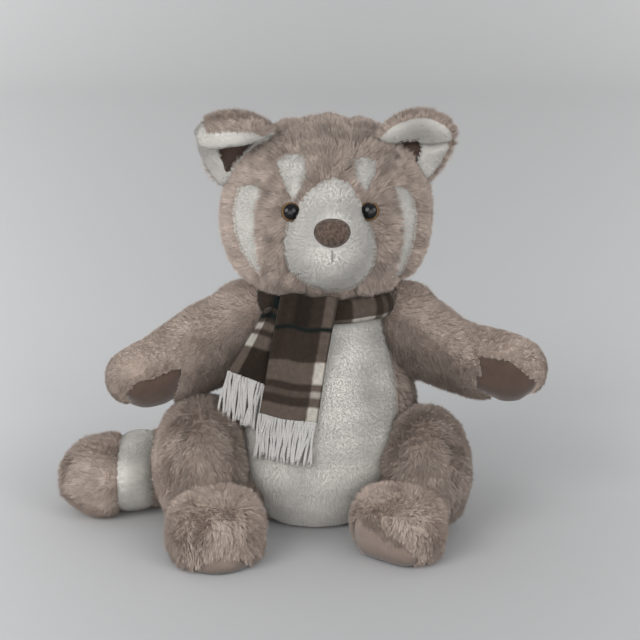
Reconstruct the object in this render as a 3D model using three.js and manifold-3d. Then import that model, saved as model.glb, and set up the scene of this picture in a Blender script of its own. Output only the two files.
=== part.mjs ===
// A seated plush animal: furry panels sewn round stuffing, a jointed-by-softness head, arms, legs,
// tail and ears, plastic eyes and nose, suede pads and soles, and a fringed plaid scarf.
// Millimetres, +Z up. The toy faces -Y and sits with the middle of its seat at the origin.
import * as THREE from "three";
import { mergeVertices } from "three/addons/utils/BufferGeometryUtils.js";
import Module from "manifold-3d";

// Fabric and fits
const PLUSH = 3;
const SEAM = 0.3;
const FIT = 0.3;
const SWING_CLEARANCE = 0.9;

// Torso, from the seat up
const TORSO_HEIGHT = 186.6;
const TORSO_DEPTH_RATIO = 0.95;
const TORSO_LEAN = 8;
const SEAT_RADIUS = 44;
const HIP_RADIUS = 77;
const HIP_HEIGHT = 42;
const BELLY_RADIUS = 78;
const BELLY_HEIGHT = 78;
const CHEST_RADIUS = 65;
const CHEST_HEIGHT = 132;
const NECK_RADIUS = 43;
const BELLY_PANEL_TOP = 176;
const BELLY_PANEL_TOP_HALF = 40;
const BELLY_PANEL_HALF = 62;
const BELLY_PANEL_FOOT_HALF = 24;
const BELLY_PANEL_FOOT = 6;

// Head
const NECK_GAP = 0.4;
const HEAD_HEIGHT = 135;
const HEAD_RADIUS = 82;
const HEAD_WIDEST = 58;
const HEAD_DEPTH_RATIO = 0.9;
const HEAD_FORWARD = 3;
const HEAD_TURN = 2.5;
const HEAD_SEAT_RADIUS = 40;
const GUSSET_HALF = 19;
const MUZZLE_HALF = 34;
const MUZZLE_HEIGHT = 76;
const MUZZLE_REACH = 41;
const MUZZLE_BACK = 60;
const MUZZLE_RISE = 56;
const BRIDGE_HALF = 20;
const BRIDGE_HEIGHT = 58;
const BRIDGE_REACH = 16;
const BRIDGE_RISE = 74;
const BROW_RISE = 104;
const BROW_OFFSET = 27;
const BROW_HALF = 10;
const BROW_HALF_HEIGHT = 16;
const CHEEK_RISE = 57;
const CHEEK_OFFSET = 50;
const CHEEK_HALF = 22;
const CHEEK_HALF_HEIGHT = 38;
const CHEEK_BAND = 15;

// Eyes and nose
const EYE_DIAMETER = 15;
const EYE_DOME = 4.6;
const EYE_OFFSET = 30;
const EYE_RISE = 78;
const SHANK_DIAMETER = 5;
const SHANK_LENGTH = 13;
const WASHER_DIAMETER = 15;
const WASHER_THICKNESS = 1.5;
const NOSE_WIDTH = 28;
const NOSE_HEIGHT = 21;
const NOSE_DEPTH = 17;
const NOSE_RISE = 68;
const MOUTH_LENGTH = 11;
const THREAD = 1.2;

// Ears
const EAR_LENGTH = 68;
const EAR_REACH = 42;
const EAR_THICKNESS = 26;
const EAR_OFFSET = 66;
const EAR_RISE = 104;
const EAR_BACK = 10;
const EAR_SPLAY = 43;
const EAR_NOD = 20;
const EAR_POCKET_LENGTH = 30;
const EAR_POCKET_REACH = 30;
const EAR_LINING = 2;
const EAR_SWING = 10;

// Arms, each from shoulder to paw
const ARM_ROOT_HALF = 31;
const ARM_PAW_HALF = 24;
const ARM_FLATNESS = 0.86;
const SHOULDER_HALF = 57;
const SHOULDER_HEIGHT = 154;
const LEFT_PAW_REACH = 148;
const LEFT_PAW_HEIGHT = 126;
const RIGHT_PAW_REACH = 148;
const RIGHT_PAW_HEIGHT = 131;
const PAW_FORWARD = 38;
const PAD_LENGTH = 48;
const PAD_WIDTH = 25;
const ARM_LIFT = 45;
const ARM_DROP = 3;

// Legs, each a thigh and a foot
const THIGH_HALF = 35;
const THIGH_DEPTH = 100;
const THIGH_FORWARD = 44;
const LEFT_THIGH_OFFSET = 99;
const LEFT_THIGH_HEIGHT = 107;
const RIGHT_THIGH_OFFSET = 77;
const RIGHT_THIGH_HEIGHT = 98;
const FOOT_HALF = 35;
const FOOT_LENGTH = 84;
const FOOT_HEIGHT = 52;
const FOOT_FORWARD = 99;
const LEFT_FOOT_OFFSET = 85;
const RIGHT_FOOT_OFFSET = 55;
const SOLE_LENGTH = 58;
const SOLE_WIDTH = 40;
const HIP_OFFSET = 62;
const HIP_FORWARD = 2;
const LEG_SPLAY = 8;

// Tail
const TAIL_HALF = 31;
const TAIL_ROOT_HALF = 19;
const TAIL_ROOT_OFFSET = 30;
const TAIL_ROOT_RISE = 4;
const TAIL_BOW = 4;
const TAIL_REACH = 184;
const TAIL_BACK = 58;
const TAIL_TIP_BACK = -10;
const TAIL_BAND_FROM = 172;
const TAIL_BAND_TO = 145;
const TAIL_SWING = 45;

// Scarf
const FLEECE = 2.2;
const WRAP_RADIUS = 60;
const WRAP_HEIGHT = 20;
const WRAP_DROP = 1.1;
const WRAP_TOP = TORSO_HEIGHT - WRAP_DROP;
const SCARF_WIDTH = 45;
const FRONT_END_DROP = 1.5;
const FRONT_END_TOP = WRAP_TOP - FRONT_END_DROP;
const FRONT_END_LENGTH = 84;
const FRONT_END_OFFSET = -13;
const FRONT_END_SLANT = 17;
const REAR_END_DROP = 3.5;
const REAR_END_TOP = WRAP_TOP - REAR_END_DROP;
const REAR_END_LENGTH = 48;
const REAR_END_OFFSET = -35;
const REAR_END_SLANT = 33;
const REAR_END_WIDTH = 26;
const FRINGE_LENGTH = 34;
const REAR_FRINGE_LENGTH = 29;
const FRINGE_STRANDS = 11;
const REAR_FRINGE_STRANDS = 7;
const FOLD_DEPTH = 2.5;
const SCARF_STANDOFF = 3;
const ARM_FRONT = 50;

// Facets
const AROUND = 16;
const EGG_AROUND = 12;
const EGG_ROWS = 7;
const LINING_AROUND = 8;
const LINING_ROWS = 5;
const LIMB_AROUND = 10;
const PROFILE_STEPS = 8;

const wasm = await Module();
wasm.setup();

const radians = THREE.MathUtils.degToRad;
const vec = (x, y, z) => new THREE.Vector3(x, y, z);

// Solids and meshes
function signedVolume(position, index) {
  const [a, b, c] = [vec(), vec(), vec()];
  let sum = 0;
  for (let i = 0; i < index.length; i += 3) {
    a.fromBufferAttribute(position, index[i]);
    b.fromBufferAttribute(position, index[i + 1]);
    c.fromBufferAttribute(position, index[i + 2]);
    sum += a.dot(b.cross(c)) / 6;
  }
  return sum;
}

function solidOf(geometry) {
  const bare = new THREE.BufferGeometry();
  bare.setAttribute("position", geometry.getAttribute("position"));
  if (geometry.index) bare.setIndex(geometry.index);
  const welded = mergeVertices(bare, 1e-3);
  const position = welded.getAttribute("position");
  const triangles = [];
  for (let i = 0; i < welded.index.count; i += 3) {
    const [a, b, c] = [0, 1, 2].map((k) => welded.index.getX(i + k));
    if (a !== b && b !== c && c !== a) triangles.push(a, b, c);
  }
  if (signedVolume(position, triangles) < 0) triangles.reverse();
  return new wasm.Manifold(
    new wasm.Mesh({
      numProp: 3,
      vertProperties: new Float32Array(position.array),
      triVerts: new Uint32Array(triangles),
    }),
  );
}

function geometryOf(solid) {
  const { vertProperties, triVerts } = solid.getMesh();
  const geometry = new THREE.BufferGeometry();
  geometry.setAttribute("position", new THREE.BufferAttribute(new Float32Array(vertProperties), 3));
  geometry.setIndex(new THREE.BufferAttribute(new Uint32Array(triVerts), 1));
  geometry.computeVertexNormals();
  return geometry;
}

const joined = (...geometries) =>
  geometries.map(solidOf).reduce((whole, solid) => whole.add(solid));

// Basic forms. Each takes how far its surface is grown outwards, which may be negative.
function splineProfile(points) {
  const curve = new THREE.SplineCurve(points.map(([r, z]) => new THREE.Vector2(r, z)));
  return curve.getPoints(PROFILE_STEPS);
}

function grownProfile(points, grow) {
  return points.map((point, i) => {
    const before = points[Math.max(i - 1, 0)];
    const after = points[Math.min(i + 1, points.length - 1)];
    const along = after.clone().sub(before).normalize();
    const radius = point.x === 0 ? 0 : point.x + along.y * grow;
    return new THREE.Vector2(radius, point.y - along.x * grow);
  });
}

function turned(profile, around = AROUND) {
  return new THREE.LatheGeometry(profile, around).rotateX(Math.PI / 2);
}

// Linings, on the inside of the plush, are faceted more coarsely than what shows.
const isLining = (grow) => grow < -PLUSH / 2;

function egg(centre, half, grow, fine = !isLining(grow)) {
  const [around, rows] = fine ? [EGG_AROUND, EGG_ROWS] : [LINING_AROUND, LINING_ROWS];
  return new THREE.SphereGeometry(1, around, rows)
    .rotateX(Math.PI / 2)
    .scale(half.x + grow, half.y + grow, half.z + grow)
    .translate(centre.x, centre.y, centre.z);
}

function box(low, high) {
  const size = high.clone().sub(low);
  const middle = low.clone().add(high).multiplyScalar(0.5);
  return new THREE.BoxGeometry(size.x, size.y, size.z).translate(middle.x, middle.y, middle.z);
}

// An oval cutter along the fore-and-aft direction, from the front to just before the middle
function ovalCutter(x, z, halfWidth, halfHeight, tilt = 0) {
  const depth = 90;
  return new THREE.CylinderGeometry(1, 1, depth, 16)
    .scale(halfWidth, 1, halfHeight)
    .rotateY(tilt)
    .translate(x, -depth / 2 - 20, z);
}

// A stuffed tube that follows a path and is rounded over at both ends
function limb(path, halfAt, flatness, grow, steps = 4, capSteps = 3) {
  const rings = [];
  const addRing = (centre, along, half) => rings.push({ centre, along, half });
  const [startHalf, endHalf] = [halfAt(0) + grow, halfAt(1) + grow];
  const [start, startAlong] = [path.getPoint(0), path.getTangent(0)];
  const [end, endAlong] = [path.getPoint(1), path.getTangent(1)];
  for (let i = 1; i < capSteps; i++) {
    const angle = (Math.PI / 2) * (1 - i / capSteps);
    const centre = start.clone().addScaledVector(startAlong, -startHalf * Math.sin(angle));
    addRing(centre, startAlong, startHalf * Math.cos(angle));
  }
  for (let i = 0; i <= steps; i++) {
    const t = i / steps;
    addRing(path.getPoint(t), path.getTangent(t), halfAt(t) + grow);
  }
  for (let i = 1; i < capSteps; i++) {
    const angle = (Math.PI / 2) * (i / capSteps);
    const centre = end.clone().addScaledVector(endAlong, endHalf * Math.sin(angle));
    addRing(centre, endAlong, endHalf * Math.cos(angle));
  }
  const around = isLining(grow) ? LINING_AROUND : LIMB_AROUND;
  const points = [start.clone().addScaledVector(startAlong, -startHalf)];
  for (const { centre, along, half } of rings) {
    const side = vec(0, 0, 1).cross(along).normalize();
    const up = along.clone().cross(side);
    for (let k = 0; k < around; k++) {
      const angle = (2 * Math.PI * k) / around;
      const point = centre.clone().addScaledVector(side, half * flatness * Math.cos(angle));
      points.push(point.addScaledVector(up, half * Math.sin(angle)));
    }
  }
  points.push(end.clone().addScaledVector(endAlong, endHalf));
  const index = [];
  const at = (ring, k) => 1 + ring * around + (k % around);
  for (let k = 0; k < around; k++) {
    index.push(0, at(0, k), at(0, k + 1));
    for (let ring = 0; ring < rings.length - 1; ring++) {
      index.push(at(ring, k), at(ring + 1, k), at(ring + 1, k + 1));
      index.push(at(ring, k), at(ring + 1, k + 1), at(ring, k + 1));
    }
    index.push(points.length - 1, at(rings.length - 1, k + 1), at(rings.length - 1, k));
  }
  return new THREE.BufferGeometry().setFromPoints(points).setIndex(index);
}

// Cloth of an even thickness over a grid, where place(u, v) gives its back face
function cloth(place, across, down, thickness) {
  const columns = across + 1;
  const points = [];
  for (const depth of [0, thickness]) {
    for (let j = 0; j <= down; j++) {
      for (let i = 0; i <= across; i++) {
        const point = place(i / across, j / down);
        point.y -= depth;
        points.push(point);
      }
    }
  }
  const back = columns * (down + 1);
  const index = [];
  const quad = (a, b, c, d) => index.push(a, b, c, a, c, d);
  for (let j = 0; j < down; j++) {
    for (let i = 0; i < across; i++) {
      const a = j * columns + i;
      quad(a, a + columns, a + columns + 1, a + 1);
      quad(back + a, back + a + 1, back + a + columns + 1, back + a + columns);
    }
    const [left, right] = [j * columns, j * columns + across];
    quad(left, back + left, back + left + columns, left + columns);
    quad(right, right + columns, back + right + columns, back + right);
  }
  for (let i = 0; i < across; i++) {
    const bottom = down * columns + i;
    quad(i, i + 1, back + i + 1, back + i);
    quad(bottom, back + bottom, back + bottom + 1, bottom + 1);
  }
  return new THREE.BufferGeometry().setFromPoints(points).setIndex(index);
}

// Swings: a limb is cut back so that it clears its neighbours over the whole of its swing
function turnAbout(hinge, degrees) {
  const to = new THREE.Matrix4().makeTranslation(hinge.at.x, hinge.at.y, hinge.at.z);
  const from = to.clone().invert();
  const turn = new THREE.Matrix4().makeRotationAxis(hinge.axis, radians(degrees));
  return to.multiply(turn).multiply(from);
}

function clearOf(solid, neighbour, hinge, grow) {
  const stops = 3;
  for (let i = 0; i < stops; i++) {
    const degrees = THREE.MathUtils.lerp(hinge.from, hinge.to, i / (stops - 1));
    const swung = neighbour(grow).applyMatrix4(turnAbout(hinge, -degrees));
    solid = solid.subtract(solidOf(swung));
  }
  return solid;
}

// Everything below the surface that the toy sits on
const floor = (height = 0) => solidOf(box(vec(-400, -400, -100), vec(400, 400, height)));

// Torso form
const torsoSide = splineProfile([
  [SEAT_RADIUS, 0],
  [HIP_RADIUS, HIP_HEIGHT],
  [BELLY_RADIUS, BELLY_HEIGHT],
  [CHEST_RADIUS, CHEST_HEIGHT],
  [NECK_RADIUS, TORSO_HEIGHT],
]);
const onAxis = (z) => new THREE.Vector2(0, z);
const torsoProfile = [onAxis(0), ...torsoSide, onAxis(TORSO_HEIGHT)];
const leanAt = (z) => -TORSO_LEAN * (1 - z / TORSO_HEIGHT);

function leaned(geometry) {
  const position = geometry.getAttribute("position");
  for (let i = 0; i < position.count; i++) {
    position.setX(i, position.getX(i) + leanAt(position.getZ(i)));
    position.setY(i, position.getY(i) * TORSO_DEPTH_RATIO);
  }
  return geometry;
}

const torso = (grow) => leaned(turned(grownProfile(torsoProfile, grow)));

function torsoRadiusAt(z) {
  const upper = torsoSide.findIndex((point) => point.y >= z);
  if (upper < 0) return NECK_RADIUS;
  if (upper === 0) return SEAT_RADIUS;
  const [a, b] = [torsoSide[upper - 1], torsoSide[upper]];
  return THREE.MathUtils.lerp(a.x, b.x, (z - a.y) / (b.y - a.y));
}

function bellyPanelCutter(grow) {
  const half = (width) => width + grow;
  const outline = new THREE.Shape();
  outline.moveTo(-half(BELLY_PANEL_FOOT_HALF), BELLY_PANEL_FOOT - grow);
  outline.lineTo(half(BELLY_PANEL_FOOT_HALF), BELLY_PANEL_FOOT - grow);
  outline.quadraticCurveTo(half(BELLY_PANEL_HALF), HIP_HEIGHT, half(BELLY_PANEL_HALF), BELLY_HEIGHT);
  const top = BELLY_PANEL_TOP + grow;
  outline.quadraticCurveTo(half(BELLY_PANEL_HALF), CHEST_HEIGHT, half(BELLY_PANEL_TOP_HALF), top);
  outline.lineTo(-half(BELLY_PANEL_TOP_HALF), top);
  outline.quadraticCurveTo(-half(BELLY_PANEL_HALF), CHEST_HEIGHT, -half(BELLY_PANEL_HALF), BELLY_HEIGHT);
  outline.quadraticCurveTo(
    -half(BELLY_PANEL_HALF), HIP_HEIGHT, -half(BELLY_PANEL_FOOT_HALF), BELLY_PANEL_FOOT - grow,
  );
  const depth = 2 * BELLY_RADIUS;
  const slab = new THREE.ExtrudeGeometry(outline, { depth, bevelEnabled: false, curveSegments: 4 });
  return solidOf(leanedPrism(slab.rotateX(Math.PI / 2)));
}

function leanedPrism(geometry) {
  const position = geometry.getAttribute("position");
  for (let i = 0; i < position.count; i++) {
    position.setX(i, position.getX(i) + leanAt(position.getZ(i)));
  }
  return geometry;
}

function seatCutter(grow) {
  const disc = new THREE.CylinderGeometry(1, 1, 2 * PLUSH, AROUND).rotateX(Math.PI / 2);
  const radius = SEAT_RADIUS - PLUSH + grow;
  return solidOf(disc.scale(radius, radius * TORSO_DEPTH_RATIO, 1.2).translate(-TORSO_LEAN, 0, 0));
}

function halfSpace(side, gap) {
  const edge = side * gap;
  return solidOf(
    side < 0 ? box(vec(-300, -300, -10), vec(edge, 300, 400)) : box(vec(edge, -300, -10), vec(300, 300, 400)),
  );
}

function torsoPieces() {
  const shell = solidOf(torso(0)).subtract(solidOf(torso(-PLUSH)));
  const seat = shell.intersect(seatCutter(0));
  const belly = shell.intersect(bellyPanelCutter(0)).subtract(seatCutter(SEAM));
  const rest = shell.subtract(bellyPanelCutter(SEAM)).subtract(seatCutter(SEAM));
  return {
    seat,
    belly,
    left: rest.intersect(halfSpace(-1, SEAM / 2)),
    right: rest.intersect(halfSpace(1, SEAM / 2)),
    stuffing: solidOf(torso(-PLUSH - FIT)),
  };
}

// Head form, which sits on the neck and is turned a little to its left
const headFoot = TORSO_HEIGHT + NECK_GAP;
const headTurn = new THREE.Matrix4().makeRotationZ(radians(HEAD_TURN));
const headSide = splineProfile([
  [HEAD_SEAT_RADIUS, headFoot],
  [HEAD_RADIUS * 0.86, headFoot + HEAD_WIDEST * 0.32],
  [HEAD_RADIUS, headFoot + HEAD_WIDEST],
  [HEAD_RADIUS * 0.86, headFoot + HEAD_HEIGHT * 0.79],
  [HEAD_RADIUS * 0.42, headFoot + HEAD_HEIGHT * 0.975],
]);
const headProfile = [onAxis(headFoot), ...headSide, onAxis(headFoot + HEAD_HEIGHT)];

function head(grow) {
  const round = turned(grownProfile(headProfile, grow));
  return round.scale(1, HEAD_DEPTH_RATIO, 1).translate(0, -HEAD_FORWARD, 0);
}

function headRadiusAt(z) {
  const upper = headSide.findIndex((point) => point.y >= z);
  const [a, b] = [headSide[upper - 1], headSide[upper]];
  return THREE.MathUtils.lerp(a.x, b.x, (z - a.y) / (b.y - a.y));
}

function onFace(x, z) {
  const radius = headRadiusAt(z);
  return vec(x, -HEAD_DEPTH_RATIO * Math.sqrt(radius * radius - x * x) - HEAD_FORWARD, z);
}

const muzzleCentre = vec(0, -MUZZLE_BACK, headFoot + MUZZLE_RISE);
const muzzleHalf = vec(MUZZLE_HALF, MUZZLE_REACH, MUZZLE_HEIGHT / 2);
const bridgeCentre = vec(0, -MUZZLE_BACK, headFoot + BRIDGE_RISE);
const bridgeHalf = vec(BRIDGE_HALF, BRIDGE_REACH, BRIDGE_HEIGHT / 2);

function muzzle(grow) {
  const snout = egg(muzzleCentre, muzzleHalf, grow, true);
  const bridge = egg(bridgeCentre, bridgeHalf, grow, true);
  return joined(snout, bridge);
}

function onMuzzle(x, z) {
  const across = (x - muzzleCentre.x) / muzzleHalf.x;
  const rise = (z - muzzleCentre.z) / muzzleHalf.z;
  return vec(x, muzzleCentre.y - muzzleHalf.y * Math.sqrt(1 - across * across - rise * rise), z);
}

function crescentCutter(side, grow) {
  const z = headFoot + CHEEK_RISE;
  const height = CHEEK_HALF_HEIGHT;
  const outer = ovalCutter(side * CHEEK_OFFSET, z, CHEEK_HALF + grow, height + grow);
  const innerX = side * (CHEEK_OFFSET - CHEEK_BAND);
  const inner = ovalCutter(innerX, z, CHEEK_HALF - grow, height - grow);
  return solidOf(outer).subtract(solidOf(inner));
}

function browCutter(side, grow) {
  const z = headFoot + BROW_RISE;
  const tilt = radians(side * 8);
  return solidOf(ovalCutter(side * BROW_OFFSET, z, BROW_HALF + grow, BROW_HALF_HEIGHT + grow, tilt));
}

// A plastic eye or nose fitting stands along its own axis, with its seat at zero
function fitted(geometry, at, axis) {
  const turn = new THREE.Quaternion().setFromUnitVectors(vec(0, 0, 1), axis);
  return geometry.applyQuaternion(turn).translate(at.x, at.y, at.z);
}

const shankProfile = (radius, depth) => [onAxis(-depth), new THREE.Vector2(radius, -depth)];

function eye(grow) {
  const radius = EYE_DIAMETER / 2 + grow;
  const profile = shankProfile(SHANK_DIAMETER / 2 + grow, SHANK_LENGTH + grow);
  profile.push(new THREE.Vector2(SHANK_DIAMETER / 2 + grow, -0.8 - grow));
  profile.push(new THREE.Vector2(radius, -0.8 - grow));
  for (let i = 0; i < 4; i++) {
    const angle = (Math.PI / 8) * i;
    profile.push(new THREE.Vector2(radius * Math.cos(angle), 0.6 + (EYE_DOME + grow) * Math.sin(angle)));
  }
  profile.push(onAxis(0.6 + EYE_DOME + grow));
  return turned(profile, 10);
}

function washer(depth, grow) {
  const inner = SHANK_DIAMETER / 2 + FIT - grow;
  const outer = WASHER_DIAMETER / 2 + grow;
  const [low, high] = [-depth - WASHER_THICKNESS - grow, -depth + grow];
  const corner = (r, z) => new THREE.Vector2(r, z);
  const ring = [corner(inner, low), corner(outer, low), corner(outer, high), corner(inner, high)];
  return turned([...ring, corner(inner, low)], 8);
}

const washerDepth = PLUSH + 2.4;
const eyeRise = headFoot + EYE_RISE;
const eyeAt = (side) => onFace(side * EYE_OFFSET, eyeRise);

function eyeAxis(side) {
  const at = eyeAt(side);
  const depth = (at.y + HEAD_FORWARD) / (HEAD_DEPTH_RATIO * HEAD_DEPTH_RATIO);
  return vec(at.x, depth, 0).normalize();
}

const eyeSolid = (side, grow) => solidOf(fitted(eye(grow), eyeAt(side), eyeAxis(side)));
const eyeWasher = (side, grow) => solidOf(fitted(washer(washerDepth, grow), eyeAt(side), eyeAxis(side)));

const noseCentre = onMuzzle(0, headFoot + NOSE_RISE);
const noseAxis = vec(0, -0.94, 0.34).normalize();
const noseShank = (grow) => {
  const radius = SHANK_DIAMETER / 2 + grow;
  const shank = [...shankProfile(radius, SHANK_LENGTH + grow), new THREE.Vector2(radius, 3), onAxis(3)];
  return fitted(turned(shank, 10), noseCentre, noseAxis);
};
const noseWasher = (grow) => solidOf(fitted(washer(washerDepth + 0.5, grow), noseCentre, noseAxis));

function noseSolid() {
  const half = vec(NOSE_WIDTH / 2, NOSE_DEPTH / 2, NOSE_HEIGHT / 2);
  const pad = solidOf(egg(noseCentre, half, 0)).subtract(muzzle(FIT));
  return pad.add(solidOf(noseShank(0)));
}

function mouthSolid() {
  const top = headFoot + NOSE_RISE - NOSE_HEIGHT / 2 - 1;
  const path = new THREE.CatmullRomCurve3(
    [0, 0.5, 1].map((t) => {
      const point = onMuzzle(0, top - t * MOUTH_LENGTH);
      point.y -= THREAD / 2 + FIT;
      return point;
    }),
  );
  const section = new THREE.Shape().absarc(0, 0, THREAD / 2, 0, 2 * Math.PI, true);
  const stitch = new THREE.ExtrudeGeometry(section, { extrudePath: path, steps: 4, curveSegments: 6 });
  return solidOf(stitch).subtract(muzzle(FIT));
}

function headPieces() {
  const sides = [-1, 1];
  const throughFace = (solid, grow) =>
    sides.reduce((rest, side) => rest.subtract(eyeSolid(side, grow)), solid);
  const shell = throughFace(solidOf(head(0)).subtract(solidOf(head(-PLUSH))), FIT).subtract(muzzle(-PLUSH));
  const patches = sides.flatMap((side) => [crescentCutter(side, 0), browCutter(side, 0)]);
  const patchGaps = sides.flatMap((side) => [crescentCutter(side, SEAM), browCutter(side, SEAM)]);
  const plain = patchGaps.reduce((rest, cutter) => rest.subtract(cutter), shell);
  const strip = (half) => solidOf(box(vec(-half, -300, 0), vec(half, 300, 500)));
  const aside = plain.subtract(strip(GUSSET_HALF + SEAM / 2));
  const muzzleSkin = throughFace(muzzle(0).subtract(muzzle(-PLUSH)).subtract(solidOf(head(SEAM))), FIT)
    .subtract(solidOf(noseShank(FIT)));
  let stuffing = solidOf(head(-PLUSH - FIT)).add(muzzle(-PLUSH - FIT)).subtract(solidOf(noseShank(FIT)));
  stuffing = throughFace(stuffing, FIT).subtract(noseWasher(FIT));
  stuffing = sides.reduce((rest, side) => rest.subtract(eyeWasher(side, FIT)), stuffing);
  return {
    gusset: plain.intersect(strip(GUSSET_HALF - SEAM / 2)),
    left: aside.intersect(halfSpace(-1, 0)),
    right: aside.intersect(halfSpace(1, 0)),
    patches: patches.map((cutter) => shell.intersect(cutter)),
    muzzleSkin,
    stuffing,
  };
}

// Ears, each worked out on the toy's own right or left (side is -1 or 1 along X)
function earFrame(side) {
  const splay = radians(EAR_SPLAY);
  const nod = radians(EAR_NOD);
  const outward = vec(side * Math.cos(splay), 0, Math.sin(splay));
  const ahead = vec(0, -1, 0);
  const reach = outward.clone().multiplyScalar(Math.cos(nod)).addScaledVector(ahead, Math.sin(nod));
  const facing = ahead.clone().multiplyScalar(Math.cos(nod)).addScaledVector(outward, -Math.sin(nod));
  const along = reach.clone().cross(facing).normalize();
  const base = vec(side * EAR_OFFSET, EAR_BACK, headFoot + EAR_RISE);
  return { along, reach, facing, base };
}

const earHinge = (side) => {
  const { along, base } = earFrame(side);
  return { at: base, axis: along, from: -EAR_SWING, to: EAR_SWING };
};

function inEarFrame(side, geometry) {
  const { along, reach, facing, base } = earFrame(side);
  return geometry.applyMatrix4(new THREE.Matrix4().makeBasis(along, reach, facing).setPosition(base));
}

function earPieces(side) {
  const half = vec(EAR_LENGTH / 2, EAR_REACH, EAR_THICKNESS / 2);
  const whole = solidOf(inEarFrame(side, egg(vec(0, 0, 0), half, 0)));
  const slab = (low, high) =>
    solidOf(inEarFrame(side, box(vec(-EAR_LENGTH, -EAR_REACH, low), vec(EAR_LENGTH, 2 * EAR_REACH, high))));
  const pocketDepth = EAR_THICKNESS;
  const pocket = (grow) => {
    const tube = new THREE.CylinderGeometry(1, 1, 2 * pocketDepth, 14).rotateX(Math.PI / 2);
    tube.scale(EAR_POCKET_LENGTH / 2 + grow, EAR_POCKET_REACH / 2 + grow, 1);
    return solidOf(inEarFrame(side, tube.translate(0, EAR_REACH * 0.32, 0)));
  };
  const trim = (solid) => clearOf(solid, head, earHinge(side), SWING_CLEARANCE);
  const behind = slab(-EAR_THICKNESS, -SEAM / 2);
  const before = slab(SEAM / 2, EAR_THICKNESS);
  return {
    back: trim(whole.intersect(behind)),
    front: trim(whole.intersect(before).subtract(pocket(SEAM))),
    lining: trim(whole.intersect(slab(SEAM / 2, EAR_LINING)).intersect(pocket(0))),
  };
}

// Arms
function armPath(side, reach, pawHeight) {
  const at = (t) =>
    vec(
      side * THREE.MathUtils.lerp(SHOULDER_HALF, reach, t),
      -PAW_FORWARD * t,
      THREE.MathUtils.lerp(SHOULDER_HEIGHT, pawHeight, Math.pow(t, 0.85)),
    );
  return new THREE.CatmullRomCurve3([at(0), at(0.5), at(1)]);
}

// What an arm swings beside: the torso, the scarf round the neck and the head above them
function besideArm(grow) {
  const scarfFoot = WRAP_TOP - WRAP_HEIGHT;
  const below = torsoSide.filter((point) => point.y < scarfFoot);
  const above = headSide.filter((point) => point.y > headFoot && point.y < headFoot + HEAD_WIDEST);
  const scarf = [new THREE.Vector2(WRAP_RADIUS, scarfFoot), new THREE.Vector2(WRAP_RADIUS, headFoot)];
  const top = above[above.length - 1].y;
  return leaned(turned(grownProfile([onAxis(0), ...below, ...scarf, ...above, onAxis(top)], grow)));
}

const armHinge = (side) => ({
  at: vec(side * SHOULDER_HALF, 0, SHOULDER_HEIGHT),
  axis: vec(0, -side, 0),
  from: -ARM_DROP,
  to: ARM_LIFT,
});

function armPieces(side, reach, pawHeight) {
  const path = armPath(side, reach, pawHeight);
  const form = (grow) =>
    limb(path, (t) => THREE.MathUtils.lerp(ARM_ROOT_HALF, ARM_PAW_HALF, t), ARM_FLATNESS, grow);
  const trimmed = (grow) =>
    clearOf(solidOf(form(grow)), besideArm, armHinge(side), SWING_CLEARANCE - grow);
  const paw = path.getPoint(0.93);
  const facing = vec(-side * 0.05, -0.8, -0.6).normalize();
  const along = path.getTangent(1).cross(facing).cross(facing).negate().normalize();
  const across = facing.clone().cross(along);
  const pad = (grow) => {
    const tube = new THREE.CylinderGeometry(1, 1, 2 * ARM_ROOT_HALF, 12).rotateX(Math.PI / 2);
    tube.scale(PAD_LENGTH / 2 + grow, PAD_WIDTH / 2 + grow, 1).translate(0, 0, ARM_ROOT_HALF);
    return solidOf(tube.applyMatrix4(new THREE.Matrix4().makeBasis(along, across, facing).setPosition(paw)));
  };
  const shell = trimmed(0).subtract(trimmed(-PLUSH));
  return {
    skin: shell.subtract(pad(SEAM)),
    pad: shell.intersect(pad(0)),
    stuffing: trimmed(-PLUSH - FIT),
  };
}

// Legs
const legHinge = (side) => ({
  at: vec(side * HIP_OFFSET, -HIP_FORWARD, 0),
  axis: vec(0, 0, side),
  from: -LEG_SPLAY,
  to: LEG_SPLAY,
});

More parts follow.
